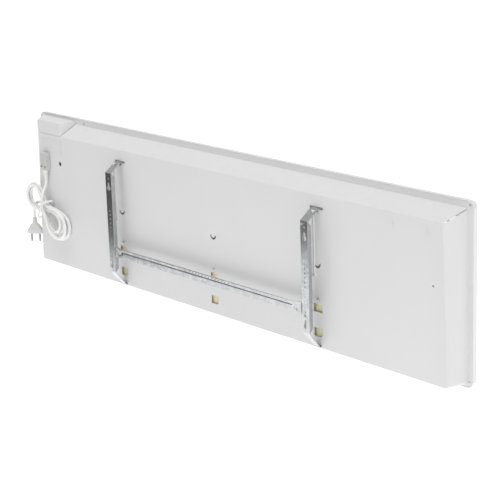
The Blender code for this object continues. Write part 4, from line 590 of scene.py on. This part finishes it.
def smoked_window(name, groups):
    """The display's smoked pane."""
    finish, tree, shader = new_finish(name, coat=1.0, coat_roughness=0.03)
    cloud = place_group(tree, groups["cloud"], Scale=30.0, First=(0.012, 0.013, 0.016, 1.0),
                        Second=(0.022, 0.024, 0.028, 1.0))
    tree.links.new(cloud.outputs["Color"], shader.inputs["Base Color"])
    rough_between(tree, shader, cloud.outputs["Mask"], 0.08, 0.14)
    return finish


def make_finishes():
    groups = {
        "cloud": make_cloud_group(),
        "grain": make_grain_group(),
        "spangle": make_spangle_group(),
        "dust": make_dust_group(),
    }
    return {
        "white_enamel": coated_sheet(
            "white_enamel", (0.80, 0.80, 0.80, 1.0), (0.775, 0.775, 0.775, 1.0), groups, (0.38, 0.5)),
        "front_enamel": coated_sheet(
            "front_enamel", (0.84, 0.84, 0.84, 1.0), (0.82, 0.82, 0.82, 1.0), groups, (0.3, 0.4)),
        "white_plastic": moulded_plastic(
            "white_plastic", (0.90, 0.90, 0.89, 1.0), (0.87, 0.87, 0.86, 1.0), groups),
        "white_pvc": soft_pvc("white_pvc", (0.93, 0.93, 0.92, 1.0), (0.89, 0.89, 0.88, 1.0), groups),
        # Painted shade: a greyer copy of the lead's white PVC, standing in for the shade on the plug
        "plug_pvc_painted_shade": soft_pvc("plug_pvc_painted_shade", (0.72, 0.72, 0.71, 1.0), (0.68, 0.68, 0.67, 1.0), groups),
        "grey_plastic": moulded_plastic(
            "grey_plastic", (0.56, 0.58, 0.60, 1.0), (0.52, 0.54, 0.56, 1.0), groups),
        "dark_plastic": moulded_plastic(
            "dark_plastic", (0.030, 0.030, 0.034, 1.0), (0.045, 0.045, 0.050, 1.0), groups, (0.3, 0.42)),
        "smoked_window": smoked_window("smoked_window", groups),
        "galvanised_steel": zinc_sheet(
            "galvanised_steel", (0.57, 0.575, 0.585, 1.0), (0.46, 0.465, 0.475, 1.0), groups, (0.09, 0.17)),
        "yellow_zinc": passivated_sheet("yellow_zinc", groups),
        "bright_steel": drawn_metal(
            "bright_steel", (0.74, 0.74, 0.75, 1.0), (0.58, 0.58, 0.60, 1.0), groups, (1.0, 1.0, 1.0)),
        # Painted shade: a darker copy of the bright steel, standing in for the dark reflections on the pins
        "pin_metal_painted_dark": drawn_metal(
            "pin_metal_painted_dark", (0.40, 0.40, 0.41, 1.0), (0.28, 0.28, 0.29, 1.0), groups, (1.0, 1.0, 1.0)),
        "aluminium": drawn_metal(
            "aluminium", (0.78, 0.78, 0.79, 1.0), (0.66, 0.67, 0.68, 1.0), groups, (0.03, 1.0, 1.0),
            (0.3, 0.45)),
        "ceramic": moulded_plastic(
            "ceramic", (0.74, 0.70, 0.62, 1.0), (0.66, 0.62, 0.54, 1.0), groups, (0.55, 0.7),
            grain=900.0, skin=0.3),
        "circuit_board": circuit_resist("circuit_board", groups),
        "label_film": moulded_plastic(
            "label_film", (0.80, 0.80, 0.80, 1.0), (0.78, 0.78, 0.78, 1.0), groups, (0.25, 0.3), skin=0.02),
        "entry_plastic": moulded_plastic(
            "entry_plastic", (0.62, 0.62, 0.61, 1.0), (0.58, 0.58, 0.57, 1.0), groups),
        "brown_wire": moulded_plastic(
            "brown_wire", (0.20, 0.09, 0.04, 1.0), (0.16, 0.07, 0.03, 1.0), groups, (0.35, 0.45)),
        "blue_wire": moulded_plastic(
            "blue_wire", (0.05, 0.14, 0.42, 1.0), (0.04, 0.11, 0.34, 1.0), groups, (0.35, 0.45)),
    }


# Making pieces

def body_of_node(node):
    for body, members in frame["record"]["behaviour"]["bodies"].items():
        if node in members:
            return body
    raise ValueError(node)


def add_piece(name, shape, finish, nodes, smooth_angle=CREASE_ANGLE):
    """A piece that stands for its nodes and moves with their body."""
    mesh = bpy.data.meshes.new(name)
    shape.to_mesh(mesh)
    shape.free()
    mesh.materials.append(finish)
    for face in mesh.polygons:
        face.use_smooth = True
    mesh.set_sharp_from_angle(angle=smooth_angle)
    piece = link(bpy.data.objects.new(name, mesh))
    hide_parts(*nodes)
    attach(piece, body_of_node(nodes[0]))
    return piece


def softened(name, node, finish, edge, crease=CREASE_ANGLE, least=0.0):
    """The node's own shape with its folded edges rounded, apart from those no longer than least."""
    shape = bmesh.new()
    shape.from_mesh(frame["nodes"][node].data)
    bmesh.ops.remove_doubles(shape, verts=shape.verts[:], dist=WELD)
    bmesh.ops.join_triangles(
        shape, faces=shape.faces[:], angle_face_threshold=FLAT_ANGLE, angle_shape_threshold=math.pi
    )
    weight = shape.edges.layers.float.new("bevel_weight_edge")
    for side in shape.edges:
        folded = len(side.link_faces) == 2 and side.calc_face_angle() > crease
        side[weight] = 1.0 if folded and side.calc_length() > least else 0.0
    piece = add_piece(name, shape, finish, [node], crease)
    rounding = piece.modifiers.new("rounded_edges", "BEVEL")
    rounding.width = edge
    rounding.segments = EDGE_STEPS
    rounding.limit_method = "WEIGHT"
    rounding.miter_outer = "MITER_ARC"
    evened = piece.modifiers.new("even_normals", "WEIGHTED_NORMAL")
    evened.keep_sharp = True
    return piece


def skin(shape, rings):
    """Faces between rings of points, closed at both ends."""
    made = [[shape.verts.new(point) for point in points] for points in rings]
    for first, second in zip(made, made[1:]):
        count = len(first)
        for index in range(count):
            after = (index + 1) % count
            shape.faces.new((first[index], first[after], second[after], second[index]))
    shape.faces.new(made[0][::-1])
    shape.faces.new(made[-1])
    bmesh.ops.recalc_face_normals(shape, faces=shape.faces[:])


def circle_points(centre, radius, first, second, sides):
    points = []
    for index in range(sides):
        angle = math.tau * index / sides
        points.append(centre + first * radius * math.cos(angle) + second * radius * math.sin(angle))
    return points


def turned_shape(place, along, profile, sides):
    """A turned shape: profile is (radius, distance along) pairs."""
    along = along.normalized()
    first = along.orthogonal().normalized()
    second = along.cross(first)
    shape = bmesh.new()
    rings = []
    for radius, reach in profile:
        rings.append(circle_points(place + along * reach, radius, first, second, sides))
    skin(shape, rings)
    return shape


# The mains lead, its hank and what is on it

def curve_point(before, start, end, after, share):
    """A point between start and end on a smooth curve through all four, by chord length."""
    span = (end - start).length
    leaving = (end - before) * span / max((end - before).length, WELD)
    arriving = (after - start) * span / max((after - start).length, WELD)
    square, cube = share * share, share * share * share
    return (
        start * (2 * cube - 3 * square + 1) + leaving * (cube - 2 * square + share)
        + end * (3 * square - 2 * cube) + arriving * (cube - square)
    )


def fine_route():
    points = [Vector(point) for point in CORD_ROUTE]
    fine = []
    for index in range(len(points) - 1):
        before = points[max(index - 1, 0)]
        after = points[min(index + 2, len(points) - 1)]
        for step in range(CORD_STEPS):
            fine.append(curve_point(before, points[index], points[index + 1], after, step / CORD_STEPS))
    fine.append(points[-1])
    return fine


def make_cord(finishes):
    route = fine_route()
    curve = bpy.data.curves.new("mains_lead", "CURVE")
    curve.dimensions = "3D"
    curve.bevel_depth = CORD_DIAMETER / 2
    curve.bevel_resolution = CORD_SIDES
    curve.use_fill_caps = True
    line = curve.splines.new("POLY")
    line.points.add(len(route) - 1)
    for point, place in zip(line.points, route):
        point.co = (*place, 1.0)
    curve.materials.append(finishes["white_pvc"])
    cord = link(bpy.data.objects.new("mains_lead", curve))
    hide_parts("cord_lead", "cord_hank", "cord_tail")
    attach(cord, "heater")
    return cord


def make_plug(finishes):
    """The two-pin plug: a narrow ribbed neck that widens into a rounded body."""
    low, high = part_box("plug_body")
    middle = (low + high) / 2
    length = high.z - low.z
    along = Vector((math.cos(PLUG_TURN), math.sin(PLUG_TURN), 0.0))
    across = Vector((-math.sin(PLUG_TURN), math.cos(PLUG_TURN), 0.0))
    shape = bmesh.new()
    rings = []
    for wide_share, deep_share, drop_share in PLUG_STATION_SHARES:
        centre = Vector((middle.x, middle.y, high.z - drop_share * length))
        half_wide = PLUG_WIDTH / 2 * wide_share
        half_deep = PLUG_THICKNESS / 2 * deep_share
        power = 2.0 / (2.0 + PLUG_SQUARENESS * max(wide_share - PLUG_ROUND_SHARE, 0.0))
        points = []
        for index in range(PLUG_SIDES):
            angle = math.tau * index / PLUG_SIDES
            x = math.copysign(abs(math.cos(angle)) ** power, math.cos(angle))
            y = math.copysign(abs(math.sin(angle)) ** power, math.sin(angle))
            points.append(centre + along * half_wide * x + across * half_deep * y)
        rings.append(points)
    skin(shape, rings)
    # the plug's moulding takes the greyer PVC, with painted shade
    return add_piece("plug_moulding", shape, finishes["plug_pvc_painted_shade"], ["plug_body"], PLUG_CREASE)


def make_pins(finishes):
    """Round pins with a domed tip."""
    pins = []
    for number in (1, 2):
        node = f"plug_pin_{number}"
        low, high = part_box(node)
        middle = (low + high) / 2
        radius = (high.x - low.x) / 2
        length = high.z - low.z
        profile = [(radius, 0.0), (radius, length - radius)]
        for step in range(1, PIN_TIP_STEPS + 1):
            angle = PIN_TIP_ANGLE * step / PIN_TIP_STEPS
            profile.append((radius * math.cos(angle), length - radius + radius * math.sin(angle)))
        place = Vector((middle.x, middle.y, high.z))
        shape = turned_shape(place, Vector((0.0, 0.0, -1.0)), profile, PIN_SIDES)
        # the pins take the darker metal, with painted shade for their reflections
        pins.append(add_piece(f"pin_{number}", shape, finishes["pin_metal_painted_dark"], [node]))
    return pins


def make_strain_relief(finishes):
    """A short tapered sleeve: a collar, then rings with grooves between them."""
    low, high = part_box("strain_relief")
    middle = (low + high) / 2
    length = high.z - low.z
    wide = (high.x - low.x) / 2
    profile = [(wide, 0.0), (wide, length * RELIEF_COLLAR_SHARE)]
    step = (1.0 - RELIEF_COLLAR_SHARE) / RELIEF_RINGS
    for index in range(RELIEF_RINGS):
        share = RELIEF_COLLAR_SHARE + index * step
        radius = wide * (RELIEF_TAPER_SHARE - index * RELIEF_FALL_SHARE)
        groove = max(radius * RELIEF_GROOVE_SHARE, CORD_DIAMETER / 2 + RELIEF_WALL)
        reaches = [(share + step * ring_share) * length for ring_share in RELIEF_RING_SHARES]
        profile += list(zip((groove, groove, radius, radius), reaches))
    place = Vector((middle.x, middle.y, high.z))
    shape = turned_shape(place, Vector((0.0, 0.0, -1.0)), profile, RELIEF_SIDES)
    relief = add_piece("strain_relief_sleeve", shape, finishes["white_pvc"], ["strain_relief"])
    rounding = relief.modifiers.new("rounded_edges", "BEVEL")
    rounding.width = RELIEF_WALL / 2
    rounding.segments = EDGE_STEPS


def make_cord_set(finishes):
    cord = make_cord(finishes)
    plug = make_plug(finishes)
    pins = make_pins(finishes)
    tie = softened("hank_tie", "cord_tie", finishes["white_pvc"], TIE_EDGE, TIE_CREASE)
    make_strain_relief(finishes)


# Sheet metal, mouldings and inner pieces that keep the CAD part's shape

SOFTENED = (
    # piece, node, finish, edge radius and the least length of an edge that is rounded, in metres
    ("back_shell", "rear_shell", "white_enamel", 0.0004, LONG_EDGE),
    ("front_tray", "front_panel", "front_enamel", 0.0006, LONG_EDGE),
    ("air_outlet", "outlet_grille", "front_enamel", 0.0003, LONG_EDGE),
    ("end_housing", "control_housing", "white_enamel", 0.0005, LONG_EDGE),
    ("bare_label", "rating_label", "label_film", 0.0001, 0.0),
    ("entry_block", "cord_entry", "entry_plastic", 0.0004, 0.0),
    ("element_bar", "heating_element", "aluminium", 0.0002, 0.0),
    ("element_bracket_1", "element_support_1", "yellow_zinc", 0.0002, LONG_EDGE),
    ("element_bracket_2", "element_support_2", "yellow_zinc", 0.0002, LONG_EDGE),
    ("element_bracket_3", "element_support_3", "yellow_zinc", 0.0002, LONG_EDGE),
    ("control_plate", "control_panel", "grey_plastic", 0.0004, 0.0),
    ("display_pane", "display_window", "smoked_window", 0.0003, 0.0),
    ("circuit_board", "control_board", "circuit_board", 0.0001, 0.0),
    ("heat_cutout", "overheat_cutout", "dark_plastic", 0.0003, 0.0),
    ("wire_block", "terminal_block", "white_plastic", 0.0004, 0.0),
    ("wall_strip_left", "bracket_strip_left", "galvanised_steel", 0.0003, LONG_EDGE),
    ("wall_strip_right", "bracket_strip_right", "galvanised_steel", 0.0003, LONG_EDGE),
    ("cross_rail", "bracket_rail", "galvanised_steel", 0.0002, LONG_EDGE),
    ("hook_lock_left", "lock_rod_left", "white_plastic", 0.0004, 0.0),
    ("hook_lock_right", "lock_rod_right", "white_plastic", 0.0004, 0.0),
)

REFINISHED = (
    # node, finish
    ("element_terminal_1", "ceramic"),
    ("element_terminal_2", "ceramic"),
    ("room_sensor", "dark_plastic"),
    ("wire_live", "brown_wire"),
    ("wire_neutral", "blue_wire"),
    ("wire_element", "brown_wire"),
)


def make_softened(finishes):
    for name, node, finish, edge, least in SOFTENED:
        softened(name, node, finishes[finish], edge, least=least)


def refinish_nodes(finishes):
    for node, finish in REFINISHED:
        slots = frame["nodes"][node].data.materials
        slots.clear()
        slots.append(finishes[finish])


# Screws and rivets

def screw_profile(radius, height, length, shank):
    """A domed head and a plain shank, from the head's crown down."""
    head = [(radius * wide_share, height * drop_share) for wide_share, drop_share in SCREW_HEAD_SHARES]
    tip = [(shank, length * SHANK_LENGTH_SHARE), (shank * SHANK_TIP_SHARE, length)]
    return head + [(shank, height + WELD)] + tip


def cross_recess(place, along, radius, depth):
    """The four-armed recess of a cross-head screw, as a closed cutter."""
    along = along.normalized()
    first = along.orthogonal().normalized()
    second = along.cross(first)
    outline = []
    arm, slim = radius * RECESS_ARM_SHARE, radius * RECESS_SLIM_SHARE
    for quarter in range(4):
        angle = math.pi / 2 * quarter
        x_way = first * math.cos(angle) + second * math.sin(angle)
        y_way = -first * math.sin(angle) + second * math.cos(angle)
        outline.append(x_way * arm - y_way * slim)
        outline.append(x_way * arm + y_way * slim)
        outline.append(x_way * slim + y_way * slim)
    shape = bmesh.new()
    skin(shape, [
        [place - along * depth + point for point in outline],
        [place + along * depth + point * RECESS_FLOOR_SHARE for point in outline],
    ])
    return shape


def make_screw(name, node, finish, head_height, shank):
    """A cross-head screw in place of the node, its head towards +Y."""
    low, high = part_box(node)
    middle = (low + high) / 2
    radius = (high.x - low.x) / 2
    place = Vector((middle.x, high.y, middle.z))
    inward = Vector((0.0, -1.0, 0.0))
    profile = screw_profile(radius, head_height, high.y - low.y, shank)
    shape = turned_shape(place, inward, profile, SCREW_SIDES)
    screw = add_piece(name, shape, finish, [node])
    recess = cross_recess(place, inward, radius, head_height * RECESS_DEPTH_SHARE)
    mesh = bpy.data.meshes.new(name + "_recess")
    recess.to_mesh(mesh)
    recess.free()
    cutter = link(bpy.data.objects.new(name + "_recess", mesh))
    change = screw.modifiers.new("recess", "BOOLEAN")
    change.operation = "DIFFERENCE"
    change.solver = "EXACT"
    change.object = cutter
    bpy.context.view_layer.update()
    cut = bpy.data.meshes.new_from_object(screw.evaluated_get(bpy.context.evaluated_depsgraph_get()))
    screw.modifiers.clear()
    screw.data = cut
    bpy.data.objects.remove(cutter)


def make_fasteners(finishes):
    steel = finishes["bright_steel"]
    for number in (1, 2, 3):
        name, node = f"bracket_screw_{number}", f"support_screw_{number}"
        make_screw(name, node, steel, SUPPORT_SCREW_HEAD, SUPPORT_SCREW_SHANK)
    for number in (1, 2, 3, 4):
        name, node = f"corner_screw_{number}", f"flange_screw_{number}"
        make_screw(name, node, steel, SMALL_SCREW_HEAD, SMALL_SCREW_SHANK)
    for number in (1, 2):
        name, node = f"entry_screw_{number}_head", f"entry_screw_{number}"
        make_screw(name, node, steel, SMALL_SCREW_HEAD, SMALL_SCREW_SHANK)
    for side in ("left", "right"):
        softened(f"rivet_{side}", f"rail_rivet_{side}", steel, RIVET_EDGE)


# Buttons

def make_buttons(finishes):
    for name in ("button_power", "button_minus", "button_plus"):
        softened(f"{name}_cap", name, finishes["white_plastic"], BUTTON_EDGE)


# The whole scene

def build_scene():
    bpy.context.scene.view_settings.view_transform = "Standard"
    make_camera()
    finishes = make_finishes()
    make_cord_set(finishes)
    make_sky()
    make_floor()
    soft_light("key_light", KEY_PLACE, KEY_SIZE, KEY_POWER)
    soft_light("side_light", SIDE_PLACE, SIDE_SIZE, SIDE_POWER)
    soft_light("top_light", TOP_PLACE, TOP_SIZE, TOP_POWER)
    make_softened(finishes)
    refinish_nodes(finishes)
    make_fasteners(finishes)
    make_buttons(finishes)


build_scene()
